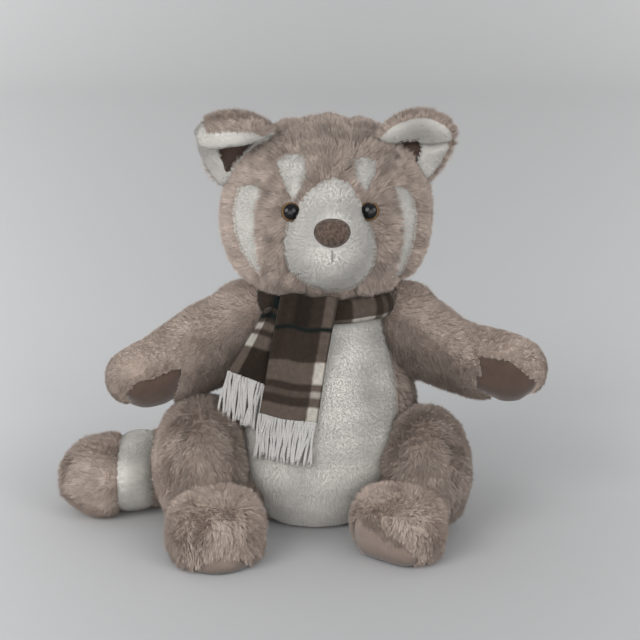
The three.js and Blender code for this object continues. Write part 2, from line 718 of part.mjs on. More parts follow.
function legPieces(side, thighOffset, thighHeight, footOffset, soleFacing) {
  const thighAt = vec(side * thighOffset, -THIGH_FORWARD, thighHeight / 2);
  const thighHalf = vec(THIGH_HALF, THIGH_DEPTH / 2, thighHeight / 2);
  const footAt = vec(side * footOffset, -FOOT_FORWARD, FOOT_HEIGHT / 2);
  const footHalf = vec(FOOT_HALF, FOOT_LENGTH / 2, FOOT_HEIGHT / 2);
  const lift = 0.5;
  const thigh = (grow) => egg(thighAt, thighHalf, grow + lift);
  const foot = (grow) => egg(footAt, footHalf, grow + lift);
  const cleared = (solid, grow) => clearOf(solid, torso, legHinge(side), SWING_CLEARANCE - grow);
  const aside = vec(1, 0, 0).projectOnPlane(soleFacing).normalize();
  const forth = soleFacing.clone().cross(aside);
  const sole = (grow) => {
    const tube = new THREE.CylinderGeometry(1, 1, FOOT_LENGTH, 14).rotateX(Math.PI / 2);
    tube.scale(SOLE_WIDTH / 2 + grow, SOLE_LENGTH / 2 + grow, 1).translate(0, 0, FOOT_LENGTH / 2 + PLUSH);
    return solidOf(tube.applyMatrix4(new THREE.Matrix4().makeBasis(aside, forth, soleFacing).setPosition(footAt)));
  };
  const thighShell = solidOf(thigh(0)).subtract(solidOf(thigh(-PLUSH))).subtract(solidOf(foot(-PLUSH)));
  const footShell = solidOf(foot(0)).subtract(solidOf(foot(-PLUSH))).subtract(solidOf(thigh(SEAM)));
  const stuffing = solidOf(thigh(-PLUSH - FIT)).add(solidOf(foot(-PLUSH - FIT)));
  return {
    thigh: cleared(thighShell, 0).subtract(floor()),
    foot: cleared(footShell, 0).subtract(sole(SEAM)).subtract(floor()),
    sole: cleared(footShell, 0).intersect(sole(0)).subtract(floor()),
    stuffing: cleared(stuffing, -PLUSH - FIT).subtract(floor(PLUSH)),
  };
}

// Tail
const tailPath = new THREE.CatmullRomCurve3([
  vec(-TAIL_ROOT_OFFSET, TAIL_BACK, TAIL_HALF + TAIL_ROOT_RISE),
  vec(-TAIL_REACH * 0.5, TAIL_BACK - TAIL_BOW, TAIL_HALF),
  vec(-TAIL_REACH * 0.77, TAIL_BACK * 0.5, TAIL_HALF),
  vec(-TAIL_REACH, TAIL_TIP_BACK, TAIL_HALF),
]);
const tailHinge = {
  at: vec(-TAIL_ROOT_OFFSET, TAIL_BACK, 0),
  axis: vec(0, 0, -1),
  from: 0,
  to: TAIL_SWING,
};

function tailPieces() {
  const halfAt = (t) => THREE.MathUtils.lerp(TAIL_ROOT_HALF, TAIL_HALF, Math.min(1, t * 1.7));
  const form = (grow) => limb(tailPath, halfAt, 1, grow, 7);
  const trimmed = (grow, height) =>
    clearOf(solidOf(form(grow)), torso, tailHinge, SWING_CLEARANCE - grow).subtract(floor(height));
  const shell = trimmed(0.5, 0).subtract(trimmed(-PLUSH, PLUSH));
  const slab = (low, high) => solidOf(box(vec(-high, -300, -10), vec(-low, 300, 200)));
  const edge = SEAM / 2;
  return {
    base: shell.intersect(slab(-50, TAIL_BAND_TO - edge)),
    band: shell.intersect(slab(TAIL_BAND_TO + edge, TAIL_BAND_FROM - edge)),
    tip: shell.intersect(slab(TAIL_BAND_FROM + edge, 400)),
    stuffing: trimmed(-PLUSH - FIT, PLUSH + FIT),
  };
}

// Scarf
function wrapProfile(grow) {
  const [low, high] = [WRAP_TOP - WRAP_HEIGHT - grow, WRAP_TOP + grow];
  const outer = WRAP_RADIUS + grow;
  const inner = NECK_RADIUS - 4;
  const corner = (r, z) => new THREE.Vector2(r, z);
  const middle = (low + high) / 2;
  return [
    corner(inner, low),
    corner(outer - 4, low),
    corner(outer - 1, low + 4),
    corner(outer - 2, middle),
    corner(outer, high - 3),
    corner(outer - 3, high),
    corner(inner, high),
    corner(inner, low),
  ];
}

const scarfWrap = (grow) => turned(wrapProfile(grow)).scale(1, TORSO_DEPTH_RATIO, 1);

const scarfWrapSolid = () => solidOf(scarfWrap(0)).subtract(solidOf(torso(FIT)));

// Where a hanging end lies: on the belly, and clear of the neck wrap and of the arms beside it
function hangingDepth(x, z, standoff) {
  const radius = torsoRadiusAt(z);
  const across = x - leanAt(z);
  const belly = TORSO_DEPTH_RATIO * Math.sqrt(Math.max(radius * radius - across * across, 0));
  const wrap = TORSO_DEPTH_RATIO * Math.sqrt(Math.max(WRAP_RADIUS * WRAP_RADIUS - x * x, 0));
  return -Math.max(belly, wrap, ARM_FRONT) - standoff;
}

function hangingEnd({ top, length, offset, slant, width, behind, folds }) {
  const place = (u, v) => {
    const standoff = behind + FIT + SCARF_STANDOFF * ((length * v) / REAR_END_LENGTH);
    const across = (u - 0.5) * width;
    const x = offset - slant * v + across;
    const z = top - length * v - across * 0.12 * v;
    const fold = FOLD_DEPTH * v * (0.5 - 0.5 * Math.cos(2 * Math.PI * folds * u));
    const point = vec(x, 0, z);
    point.y = hangingDepth(x, Math.min(z, WRAP_TOP - WRAP_HEIGHT), standoff) - fold;
    return point;
  };
  return place;
}

const frontEnd = hangingEnd({
  top: FRONT_END_TOP, length: FRONT_END_LENGTH, offset: FRONT_END_OFFSET, slant: FRONT_END_SLANT,
  width: SCARF_WIDTH, behind: FLEECE + 2 * FIT, folds: 2,
});
const rearEnd = hangingEnd({
  top: REAR_END_TOP, length: REAR_END_LENGTH, offset: REAR_END_OFFSET, slant: REAR_END_SLANT,
  width: REAR_END_WIDTH, behind: 0, folds: 0,
});

function fringe(end, strands, drop, thickness) {
  const gap = 0.9;
  const place = (u, v) => {
    const hem = end(u, 1);
    const flare = 1 + 0.12 * v;
    const middle = end(0.5, 1);
    const point = vec(middle.x + (hem.x - middle.x) * flare, hem.y, hem.z - SEAM - drop * v);
    point.y = Math.min(hem.y, hangingDepth(point.x, point.z, SCARF_STANDOFF));
    return point;
  };
  let tassels = solidOf(cloth(place, strands, 1, thickness));
  for (let i = 1; i < strands; i++) {
    const head = place(i / strands, 0.12);
    const tip = place(i / strands, 1.1);
    const slit = new THREE.Shape();
    slit.moveTo(head.x, head.z);
    slit.lineTo(tip.x - gap, tip.z);
    slit.lineTo(tip.x + gap, tip.z);
    const cut = new THREE.ExtrudeGeometry(slit, { depth: 60, bevelEnabled: false }).rotateX(Math.PI / 2);
    tassels = tassels.subtract(solidOf(cut.translate(0, head.y + 30, 0)));
  }
  return tassels;
}

// Finishes
const finish = (color, roughness) => new THREE.MeshStandardMaterial({ color, roughness, metalness: 0 });
const FUR = finish(0x8b7e76, 0.95);
const WHITE_FUR = finish(0xb2aea8, 0.95);
const SUEDE = finish(0x55463f, 0.85);
const SOLE_SUEDE = finish(0x7a6b64, 0.85);
const FILLING = finish(0xdedbd4, 1);
const EYE_PLASTIC = finish(0x4a2c12, 0.12);
const WASHER_PLASTIC = finish(0xc9c8c4, 0.5);
const NOSE_FLOCK = finish(0x5c4e45, 0.9);
const THREAD_BROWN = finish(0x6b5a50, 0.8);
const FLEECE_PLAID = finish(0x5a5048, 0.95);
const YARN = finish(0xafaca8, 0.95);

const raccoon = new THREE.Group();
const headGroup = new THREE.Group();
headGroup.applyMatrix4(headTurn);
raccoon.add(headGroup);

function addPiece(name, solid, material, group = raccoon) {
  const piece = new THREE.Mesh(geometryOf(solid), material);
  piece.name = name;
  group.add(piece);
}

const body = torsoPieces();
addPiece("torso_left_panel", body.left, FUR);
addPiece("torso_right_panel", body.right, FUR);
addPiece("belly_panel", body.belly, WHITE_FUR);
addPiece("seat_panel", body.seat, FUR);
addPiece("torso_stuffing", body.stuffing, FILLING);

const face = headPieces();
const [leftCheek, leftBrow, rightCheek, rightBrow] = face.patches;
addPiece("head_gusset", face.gusset, FUR, headGroup);
addPiece("head_left_panel", face.left, FUR, headGroup);
addPiece("head_right_panel", face.right, FUR, headGroup);
addPiece("left_cheek_patch", leftCheek, WHITE_FUR, headGroup);
addPiece("right_cheek_patch", rightCheek, WHITE_FUR, headGroup);
addPiece("left_brow_patch", leftBrow, WHITE_FUR, headGroup);
addPiece("right_brow_patch", rightBrow, WHITE_FUR, headGroup);
addPiece("muzzle", face.muzzleSkin, WHITE_FUR, headGroup);
addPiece("head_stuffing", face.stuffing, FILLING, headGroup);
addPiece("nose", noseSolid(), NOSE_FLOCK, headGroup);
addPiece("nose_washer", noseWasher(0), WASHER_PLASTIC, headGroup);
addPiece("mouth_stitch", mouthSolid(), THREAD_BROWN, headGroup);

for (const [name, side] of [["left", -1], ["right", 1]]) {
  addPiece(`${name}_eye`, eyeSolid(side, 0), EYE_PLASTIC, headGroup);
  addPiece(`${name}_eye_washer`, eyeWasher(side, 0), WASHER_PLASTIC, headGroup);
  const ear = earPieces(side);
  addPiece(`${name}_ear_back`, ear.back, FUR, headGroup);
  addPiece(`${name}_ear_front`, ear.front, WHITE_FUR, headGroup);
  addPiece(`${name}_ear_lining`, ear.lining, SUEDE, headGroup);
}

const arms = {
  left: armPieces(-1, LEFT_PAW_REACH, LEFT_PAW_HEIGHT),
  right: armPieces(1, RIGHT_PAW_REACH, RIGHT_PAW_HEIGHT),
};
const leftSoleFacing = vec(0, -0.3, -1).normalize();
const rightSoleFacing = vec(-0.35, -0.75, -0.56).normalize();
const legs = {
  left: legPieces(-1, LEFT_THIGH_OFFSET, LEFT_THIGH_HEIGHT, LEFT_FOOT_OFFSET, leftSoleFacing),
  right: legPieces(1, RIGHT_THIGH_OFFSET, RIGHT_THIGH_HEIGHT, RIGHT_FOOT_OFFSET, rightSoleFacing),
};
for (const name of ["left", "right"]) {
  addPiece(`${name}_arm`, arms[name].skin, FUR);
  addPiece(`${name}_paw_pad`, arms[name].pad, SUEDE);
  addPiece(`${name}_arm_stuffing`, arms[name].stuffing, FILLING);
  addPiece(`${name}_thigh`, legs[name].thigh, FUR);
  addPiece(`${name}_foot`, legs[name].foot, FUR);
  addPiece(`${name}_sole`, legs[name].sole, SOLE_SUEDE);
  addPiece(`${name}_leg_stuffing`, legs[name].stuffing, FILLING);
}

const tail = tailPieces();
addPiece("tail_base", tail.base, FUR);
addPiece("tail_band", tail.band, WHITE_FUR);
addPiece("tail_tip", tail.tip, FUR);
addPiece("tail_stuffing", tail.stuffing, FILLING);

addPiece("scarf_wrap", scarfWrapSolid(), FLEECE_PLAID);
addPiece("scarf_front_end", solidOf(cloth(frontEnd, 10, 7, FLEECE)), FLEECE_PLAID);
addPiece("scarf_rear_end", solidOf(cloth(rearEnd, 6, 4, FLEECE)), FLEECE_PLAID);
addPiece("scarf_front_fringe", fringe(frontEnd, FRINGE_STRANDS, FRINGE_LENGTH, FLEECE), YARN);
addPiece("scarf_rear_fringe", fringe(rearEnd, REAR_FRINGE_STRANDS, REAR_FRINGE_LENGTH, FLEECE), YARN);

export default raccoon;
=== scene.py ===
"""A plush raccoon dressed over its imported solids: pile fur on sewn panels, suede pads, plastic
eyes, a flocked nose and a fringed plaid scarf. Metres, +Z up, the toy faces -Y."""
import math
from typing import NamedTuple

import bmesh
import bpy
import numpy as np
from bpy.props import FloatProperty, FloatVectorProperty, IntProperty, PointerProperty
from mathutils import Matrix, Vector
from mathutils.bvhtree import BVHTree
from mathutils.kdtree import KDTree


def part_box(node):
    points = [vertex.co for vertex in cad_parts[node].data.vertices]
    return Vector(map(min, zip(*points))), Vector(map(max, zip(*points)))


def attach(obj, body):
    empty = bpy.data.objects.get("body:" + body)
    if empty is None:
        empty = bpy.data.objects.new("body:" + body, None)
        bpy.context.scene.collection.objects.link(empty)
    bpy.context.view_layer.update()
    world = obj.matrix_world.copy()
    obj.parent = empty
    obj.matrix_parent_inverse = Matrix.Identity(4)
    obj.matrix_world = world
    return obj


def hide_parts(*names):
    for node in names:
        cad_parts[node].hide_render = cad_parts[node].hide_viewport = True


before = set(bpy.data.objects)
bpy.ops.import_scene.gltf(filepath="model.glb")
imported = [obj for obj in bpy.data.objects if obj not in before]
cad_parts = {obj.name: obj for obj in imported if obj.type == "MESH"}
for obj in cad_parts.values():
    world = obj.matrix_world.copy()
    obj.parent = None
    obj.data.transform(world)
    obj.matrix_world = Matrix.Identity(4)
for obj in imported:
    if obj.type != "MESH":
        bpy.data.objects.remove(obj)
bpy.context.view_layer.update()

bl_info = {
    "name": "Plush raccoon",
    "version": (1, 0, 0),
    "blender": (4, 5, 0),
    "location": "View3D > Sidebar > Raccoon",
    "description": "Dresses the packed raccoon in fur, suede, fleece and yarn",
    "category": "Add Mesh",
}

STRAND_MAP = "OFBake"
CLOTH_MAP = "cloth"
HEAD_TURN = math.radians(2.5)
SIDES = {"left": -1, "right": 1}
forms = {}
finishes = {}


# How the pile lies and varies
class Nap(NamedTuple):
    """How a plush lies: its rise from the cloth, how it gathers in locks, its mottling and disorder."""

    lift: float
    clump: float
    mottle: float
    wild: float


class Wander(NamedTuple):
    """How far the pile strays: with its neighbours over a wavelength, and from strand to strand."""

    share: float
    wave: float
    jitter: float


NAPS = {"taupe_plush": Nap(0.80, 0.36, 0.5, 0.85), "white_plush": Nap(0.8, 0.03, 0.06, 0.14)}
TALL = Wander(0.16, 0.020, 0.14)
SWIRL = Wander(0.55, 0.035, 0.22)
RISE = Wander(0.20, 0.024, 0.12)
LOCK_CONTRAST = 0.42
SHADE_WAVES = ((0.17, 0.016), (0.06, 0.060))
SHADE_JITTER = 0.07
SHADE_LIMITS = (0.04, 0.96)
# Strands are shaded as if they leaned this way, which softens the pile
SHADING_LEAN = np.array((0, -0.42, 0.12))
# A strand's normal at its root and at its tip
ROOT_LEAN = 0.5
TIP_NORMAL = 0.8
TIP_AXIS = 0.35
STRAND_ROLL = 0.9
STRAND_WIDTH_JITTER = 0.2
# Round a fitting, pile is cut short and combed away, in shares of the clearing's radius
CLEAR_FROM = 0.55
CLEAR_OVER = 0.9
CLEAR_LEAST = 0.18
COMB_REACH = 1.9
ROOT_DEPTH = 0.0008
BLADE_GAP = 0.00004
FLOOR_CLEAR = 0.0004
BACKING = 0.0009
# The share of the strands that is kept where a piece lies on the floor
UNDERSIDE_SHARE = 0.15
SKIN_SWELL = 0.001


class Lump(NamedTuple):
    """An egg of filling that rounds a form out, as it lies on the right side."""

    centre: tuple
    half: tuple


class Foot(NamedTuple):
    """A foot's centre, the way its sole faces, where the sole's suede lies and ends, and how full it is."""

    centre: Vector
    facing: Vector
    flat: float
    wrap: float
    above: float
    fullness: float


# Forms
TORSO_SHOULDER = Lump((0.044, 0.002, 0.163), (0.024, 0.030, 0.017))
ARM_SHOULDER = Lump((0.061, 0.0, 0.163), (0.027, 0.028, 0.0235))
SEAT_SPREAD_HEIGHT = 0.060
SEAT_SPREAD_ASIDE = 0.05
SEAT_SPREAD_AHEAD = 0.19
BELLY_FRONT = -0.03
BELLY_FOOT = 0.025
FACE_FLOW_FROM = (0.004, -0.13, 0.262)
ARM_SWELL = 0.0035
ARM_HEIGHT = 0.152
ARM_ROOT = 0.078
ARM_HALF = 0.018
ARM_FALL = 0.42
ARM_SAG = 0.0035
ARM_SAG_AT = 0.118
ARM_SAG_WIDTH = 0.030
PAD_MARGIN = 0.004
THIGH_SWELL = 0.0015
FEET = {
    "left": Foot(Vector((-0.085, -0.1098, 0.0265)), Vector((0, -0.05, -1)).normalized(),
                 flat=0.0252, wrap=0.0010, above=1.0, fullness=0.25),
    "right": Foot(Vector((0.0555, -0.1040, 0.0265)), Vector((-0.57, -0.72, -0.39)).normalized(),
                  flat=0.0265, wrap=0.0060, above=0.012, fullness=0.62),
}
FOOT_HALF = (0.0355, 0.0405, 0.0262)
FOOT_HEEL = Vector((0, 0.055, 0.055))
FOOT_CLEAR = 0.0012
FOOT_SPREAD_HEIGHT = 0.015
FOOT_SPREAD = (0.07, 0.10, 0.8)
TOE_CREASE_AT = -0.099
TOE_CREASE_WIDTH = 0.0045
TOE_CREASE_DEPTH = 0.004
SOLE_PRESS = 0.92
SOLE_RIM_AT = -0.079
SOLE_RIM_HALF = 0.027
SOLE_RIM_TALL = 0.0165
SOLE_RIM_AHEAD = 0.02
TAIL_BOW = 0.020
TAIL_BOW_AT = -0.135
TAIL_BOW_WIDTH = 0.033
TAIL_BAND_SWELL = 0.0009
TAIL_BAND_SHIFTS = (0.006, 0.005)
EAR_ROOT = (0.063, -0.015, 0.292)
EAR_LEAN = 0.12
EAR_CUP = 0.010
EAR_CUP_WIDTH = 0.037
EAR_CUP_FROM = 0.285
EAR_CUP_RISE = 0.02
EAR_PIT = 0.007
EAR_CREASE = 0.0045
EAR_CREASE_WIDTH = 0.0025
EAR_CREASE_DROP = 0.001
EAR_CREASE_WAVE = 0.0012
EAR_CREASE_TURNS = 260
EAR_FOLD_AHEAD = 0.021
EAR_LINING_OVER = 0.008
# White pile shows over the left ear's tip above this height, and along its outer edge
LEFT_EAR_TIP = 0.3395
LEFT_EAR_TIP_SIDE = -0.052
LEFT_EAR_EDGE = -0.094

# Cloth, yarn and fittings
FLEECE = 0.0020
NECK_FLEECE = 0.0022
YARN_RADIUS = 0.0011
STITCH_RADIUS = 0.0005
STITCH_LIFT = 0.0008
MOUTH_DROPS = (0.003, 0.0115)
FILLING_SHRINK = 0.0035
NECK_TURN_RADIUS = 0.0545
NECK_TURN_BULGE = 0.005
NECK_TURN_FOOT = 0.1715
NECK_TURN_TALL = 0.019
NECK_TURN_EDGE = 0.1945
PLAID_REPEAT = 0.116
# How far forward cloth lies at least, the height it meets the neck at, and where the belly ends
CLOTH_FRONT = -0.050
NECK_FOOT = 0.150
BELLY_TOP = 0.176
CLOTH_SOFTEN = 0.006
PLEAT = 0.0034
CLOTH_SWAY = 0.0017
CLOTH_CURL = 0.0012
FRINGE_STRAY = 0.0019
FRINGE_WAVE = 0.0007
FRINGE_LEAN = 0.005
FRINGE_STANDOFF = 0.0055
FRINGE_BACK = 0.004
NECK_RADIUS = 0.0605
NECK_DEPTH_RATIO = 0.955
# The section of an eye from the top of its dome to the foot of its shank
EYE_PROFILE = ((0.0, 0.0), (0.0028, -0.0004), (0.0052, -0.0015), (0.0068, -0.0030), (0.0075, -0.0046),
               (0.0070, -0.0062), (0.0025, -0.0070), (0.0025, -0.0150), (0.0, -0.0150))
EYE_DOME = 0.0046
EYE_INSET = 0.0056
EYE_RIM_LEVEL = -0.0066
EYE_FACING = (-0.18, -0.94, 0.27)
EYE_CLEARING = 0.0064
EYE_CLEARING_ASIDE = 0.0035
NOSE_HALF = (0.0139, 0.0095, 0.0109)
NOSE_NOD = math.radians(-14)
NOSE_CREASE = 0.0013
NOSE_CLEARING = 0.0118
GUSSET_HALF = 0.019
# Where an arm dips: how far out, over what width, how deep
LEFT_DIPS = ((0.152, 0.026, 0.0035), (0.105, 0.028, -0.0045))
RIGHT_DIPS = ((0.113, 0.024, 0.0075),)

# The stage: lamps by place and size, and a paper sheet that bends up into a wall
LAMPS = {"key": ((-1.9, -2.6, 1.9), 2.2), "fill": ((2.1, -2.5, 1.8), 2.2), "front": ((0.2, -3.4, 0.5), 3.0)}
LAMPS_AIM = Vector((0, 0, 0.15))
PAPER_HALF = 4.0
PAPER_BEND_AT = 1.9
PAPER_BEND = 0.8

# Patches and outlines, in millimetres on an upright plane through the face, seen from the camera
FACE_PLANE = -0.075
PATCHES_FRONT = -0.012
MUZZLE_FRONT = -0.050
LEFT_EAR = [(-82, 273), (-90, 283), (-97, 297), (-100, 312), (-101, 330), (-99, 344), (-91, 349),
            (-75, 348), (-58, 344), (-47, 339), (-42, 331), (-42, 320), (-46, 308), (-58, 294), (-70, 279)]
RIGHT_EAR = [(78, 276), (86, 285), (92, 296), (96, 307), (97, 318), (92, 328), (83, 333), (70, 336),
             (57, 333), (46, 327), (38, 318), (42, 308), (55, 294), (68, 280)]
LEFT_LINING = [(-81, 315), (-54, 321), (-66, 307), (-74, 296)]
RIGHT_LINING = [(45, 317), (68, 323), (71, 314), (65, 300)]
LEFT_PAD = [(-155, 122), (-148, 128), (-136, 133), (-124, 138), (-116, 142), (-111, 142), (-112, 133),
            (-115, 122), (-121, 106), (-135, 100), (-146, 104), (-153, 115)]
RIGHT_PAD = [(117, 153), (128, 152), (139, 149), (149, 142), (156, 136), (164, 130), (163, 126),
             (155, 118), (144, 106), (134, 106), (128, 117), (122, 128), (118, 140)]
LEFT_CHEEK = [(-67, 285), (-58, 288), (-50, 287), (-47, 282), (-51, 268), (-53, 253), (-51, 236),
              (-48, 214), (-57, 223), (-65, 236), (-70, 252), (-71, 268)]
RIGHT_CHEEK = [(49, 284), (55, 286), (62, 284), (67, 275), (69, 263), (68, 249), (65, 235), (56, 214),
               (49, 217), (54, 231), (56, 244), (55, 264)]
LEFT_BROW = [(-38, 306), (-31, 311), (-22, 312), (-12, 307), (-14, 296), (-17, 285), (-25, 271), (-32, 286)]
RIGHT_BROW = [(18, 307), (28, 309), (38, 306), (37, 294), (30, 280), (21, 289)]
MUZZLE = [(7, 293), (-4, 290), (-15, 281), (-24, 269), (-30, 258), (-33, 245), (-33, 232), (-28, 219),
          (-15, 209), (1, 203), (17, 204), (29, 212), (37, 224), (39, 237), (36, 250), (31, 263),
          (25, 277), (17, 289)]


# Properties
def length(name, description, default):
    """A size in metres."""
    return FloatProperty(name=name, description=description, default=default, min=0,
                         unit="LENGTH", subtype="DISTANCE", precision=4)


def power(name, description, default):
    """A lamp's power in watts."""
    return FloatProperty(name=name, description=description, default=default, unit="POWER")


def colour(name, description, default):
    """A linear colour."""
    return FloatVectorProperty(name=name, description=description, default=default, size=3,
                               min=0, max=1, subtype="COLOR")


class RaccoonFur(bpy.types.PropertyGroup):
    """Sizes and colours of the pile."""

    taupe_pile: length("Taupe pile", "Length of the taupe strands", 0.0058)
    white_pile: length("White pile", "Length of the white strands", 0.0015)
    strand: length("Strand", "Width of a strand at its root", 0.00068)
    lock: length("Lock", "Spacing of the locks that strands gather in", 0.0062)
    per_cm2: IntProperty(name="Density", description="Strands on a square centimetre of panel",
                         default=225, min=1, max=600)
    skin_depth: length("Skin depth", "How far the cloth lies inside the solid's surface", 0.0012)
    taupe_root: colour("Taupe root", "Taupe pile near the cloth", (0.245, 0.190, 0.158))
    taupe_tip: colour("Taupe tip", "Taupe pile at its tips", (0.56, 0.465, 0.405))
    white_root: colour("White root", "White pile near the cloth", (0.515, 0.496, 0.464))
    white_tip: colour("White tip", "White pile at its tips", (0.55, 0.530, 0.497))


class RaccoonTrims(bpy.types.PropertyGroup):
    """Colours of the suede, plastic, flock, fleece and yarn."""

    paw_suede: colour("Paw suede", "Paw pads and ear linings", (0.072, 0.046, 0.035))
    sole_suede: colour("Sole suede", "Soles of the feet", (0.26, 0.20, 0.168))
    flock: colour("Nose flock", "Flocked nose", (0.082, 0.055, 0.042))
    thread: colour("Thread", "Stitch of the mouth", (0.34, 0.30, 0.275))
    iris: colour("Iris", "Ring round the pupil", (0.15, 0.082, 0.028))
    fleece_brown: colour("Fleece brown", "Ground of the plaid", (0.029, 0.0205, 0.0155))
    fleece_dark: colour("Fleece dark", "Dark checks of the plaid", (0.0120, 0.0085, 0.0062))
    fleece_taupe: colour("Fleece taupe", "Middle checks of the plaid", (0.082, 0.064, 0.052))
    fleece_cream: colour("Fleece cream", "Pale checks of the plaid", (0.37, 0.345, 0.305))
    fleece_green: colour("Fleece line", "Fine line of the plaid", (0.006, 0.0095, 0.008))
    yarn: colour("Yarn", "Fringe", (0.53, 0.517, 0.495))


class RaccoonStage(bpy.types.PropertyGroup):
    """The floor, the light and the camera."""

    # These paper colours hold painted light: darker underfoot, paler behind the toy and on the wall.
    floor: colour("Floor", "Paper underfoot", (0.46, 0.46, 0.463))
    middle: colour("Middle", "Paper at the toy's back", (0.56, 0.56, 0.562))
    wall: colour("Wall", "Paper behind", (0.585, 0.583, 0.583))
    key: power("Key lamp", "Power of the large lamp", 62)
    fill: power("Fill lamp", "Power of the lamp on the right", 36)
    front: power("Front lamp", "Power of the low lamp in front", 45)
    sky: FloatProperty(name="Sky", description="Strength of the even light", default=0.60)
    distance: length("Camera distance", "From the camera to the toy", 1.8)
    elevation: FloatProperty(name="Camera elevation", description="Angle above the horizon",
                             default=math.radians(16), subtype="ANGLE", unit="ROTATION")
    lens: FloatProperty(name="Lens", description="Focal length in millimetres", default=126.56)
    aim: FloatVectorProperty(name="Aim", description="Point in the middle of the picture",
                             default=(-0.0048, 0, 0.1597), subtype="TRANSLATION", unit="LENGTH")


def fur_settings():
    return bpy.context.scene.raccoon_fur


def skin_swell():
    """How far a panel's skin lies outside its solid, or inside where it is negative."""
    return SKIN_SWELL - fur_settings().skin_depth


def trim_settings():
    return bpy.context.scene.raccoon_trims


# Materials
class Wire:
    """A shader socket: arithmetic on it adds Math nodes."""

    def __init__(self, finish, socket):
        self.finish, self.socket = finish, socket

    def maths(self, operation, a, b=0.0):
        return self.finish.node("ShaderNodeMath", {"operation": operation}, {0: a, 1: b})

    def __add__(self, other):
        return self.maths("ADD", self, other)

    def __sub__(self, other):
        return self.maths("SUBTRACT", self, other)

    def __rsub__(self, other):
        return self.maths("SUBTRACT", other, self)

    def __mul__(self, other):
        return self.maths("MULTIPLY", self, other)

    def __truediv__(self, other):
        return self.maths("DIVIDE", self, other)

    def __pow__(self, other):
        return self.maths("POWER", self, other)

    __radd__ = __add__
    __rmul__ = __mul__


class Finish:
    """A material being made: nodes are added to it and linked into its shader."""

    def __init__(self, name):
        self.material = bpy.data.materials.new(name)
        self.material.use_nodes = True
        self.tree = self.material.node_tree
        self.shader = self.tree.nodes["Principled BSDF"]

    def put(self, socket, value):
        if isinstance(value, Wire):
            self.tree.links.new(value.socket, socket)
        elif hasattr(value, "__len__") and len(value) == 3 and socket.type == "RGBA":
            socket.default_value = (*value, 1)
        else:
            socket.default_value = value

    def node(self, kind, settings=None, inputs=None, output=0):
        made = self.tree.nodes.new(kind)
        for name, value in (settings or {}).items():
            setattr(made, name, value)
        for key, value in (inputs or {}).items():
            self.put(made.inputs[key], value)
        return Wire(self, made.outputs[output])

    def mixed(self, factor, a, b):
        return self.node("ShaderNodeMix", {"data_type": "RGBA"}, {0: factor, 6: a, 7: b}, 2)

    def scaled(self, colour, by):
        return self.node("ShaderNodeVectorMath", {"operation": "SCALE"}, {0: colour, "Scale": by})

    def place(self):
        return self.node("ShaderNodeTexCoord", output="Object")

    def noise(self, where, scale, detail):
        return self.node("ShaderNodeTexNoise", None, {"Vector": where, "Scale": scale, "Detail": detail})

    def over(self, name):
        """The two coordinates of one of the piece's own maps."""
        place = self.node("ShaderNodeUVMap", {"uv_map": name})
        return [self.axis(place, number) for number in (0, 1)]

    def ramp(self, value, low, high, start=0.0):
        """Rises from a start to 1 while a value goes from low to high."""
        return self.node("ShaderNodeMapRange", None, {0: value, 1: low, 2: high, 3: start})

    def axis(self, vector, number):
        """One axis of a vector."""
        return self.node("ShaderNodeSeparateXYZ", None, {0: vector}, number)

    def clamp(self, value, low, high):
        return self.node("ShaderNodeClamp", None, {0: value, 1: low, 2: high})

    def bumped(self, height, strength, distance):
        inputs = {"Height": height, "Strength": strength, "Distance": distance}
        return self.node("ShaderNodeBump", None, inputs)

    def done(self, **values):
        for name, value in values.items():
            self.put(self.shader.inputs[name.replace("_", " ")], value)
        return self.material


def fur_finish(name, root, tip, haze):
    """Pile: each strand has a shade of its own, and pales from its root to its tip."""
    finish = Finish(name)
    shade, height = finish.over(STRAND_MAP)
    base = finish.mixed(height ** 0.9, root, tip)
    return finish.done(Base_Color=finish.scaled(base, shade * 1.2 + 0.4),
                       Roughness=1.0 - height * 0.1, Sheen_Weight=0.9, Sheen_Roughness=0.5,
                       Sheen_Tint=haze, Specular_IOR_Level=0.06)


def suede_finish(name, base, shade_below=0.0):
    """Brushed suede: a fine nap over broad, faint patches, with painted shade that darkens it below a given
    height, towards the floor.
    """
    finish = Finish(name)
    where = finish.place()
    nap, patches = finish.noise(where, 1400, 4), finish.noise(where, 70, 3)
    shade = nap * 0.5 + patches * 0.6 + 0.45
    # Painted shade: below the given height the suede is darkened towards the floor.
    if shade_below:
        height = finish.axis(where, 2)
        shade = shade * finish.ramp(height, 0.0, shade_below, 0.4)
    return finish.done(Base_Color=finish.scaled(base, shade),
                       Roughness=0.8 + nap * 0.2, Sheen_Weight=0.3, Specular_IOR_Level=0.2,
                       Normal=finish.bumped(nap, 0.5, 0.0006))


def flock_finish(name, base):
    """Flocked plastic: short dense fibres that sparkle in fine grains."""
    finish = Finish(name)
    where = finish.place()
    grain, patches = finish.noise(where, 430, 4), finish.noise(where, 160, 2)
    shade = grain * 3.4 + patches * 0.4 - 0.9
    return finish.done(Base_Color=finish.scaled(base, shade),
                       Roughness=0.75 + grain * 0.25, Sheen_Weight=0.15, Specular_IOR_Level=0.3,
                       Normal=finish.bumped(grain, 0.9, 0.0012))


def fibre_finish(name, base):
    """Filling: matted white fibres."""
    finish = Finish(name)
    fibres = finish.noise(finish.place(), 420, 6)
    return finish.done(Base_Color=finish.scaled(base, fibres * 0.3 + 0.8),
                       Roughness=0.85 + fibres * 0.15, Normal=finish.bumped(fibres, 0.6, 0.001))


def plastic_finish(name, base):
    """Moulded plastic with a faint grain."""
    finish = Finish(name)
    grain = finish.noise(finish.place(), 900, 2)
    return finish.done(Base_Color=finish.scaled(base, grain * 0.2 + 0.9),
                       Roughness=0.35 + grain * 0.15)


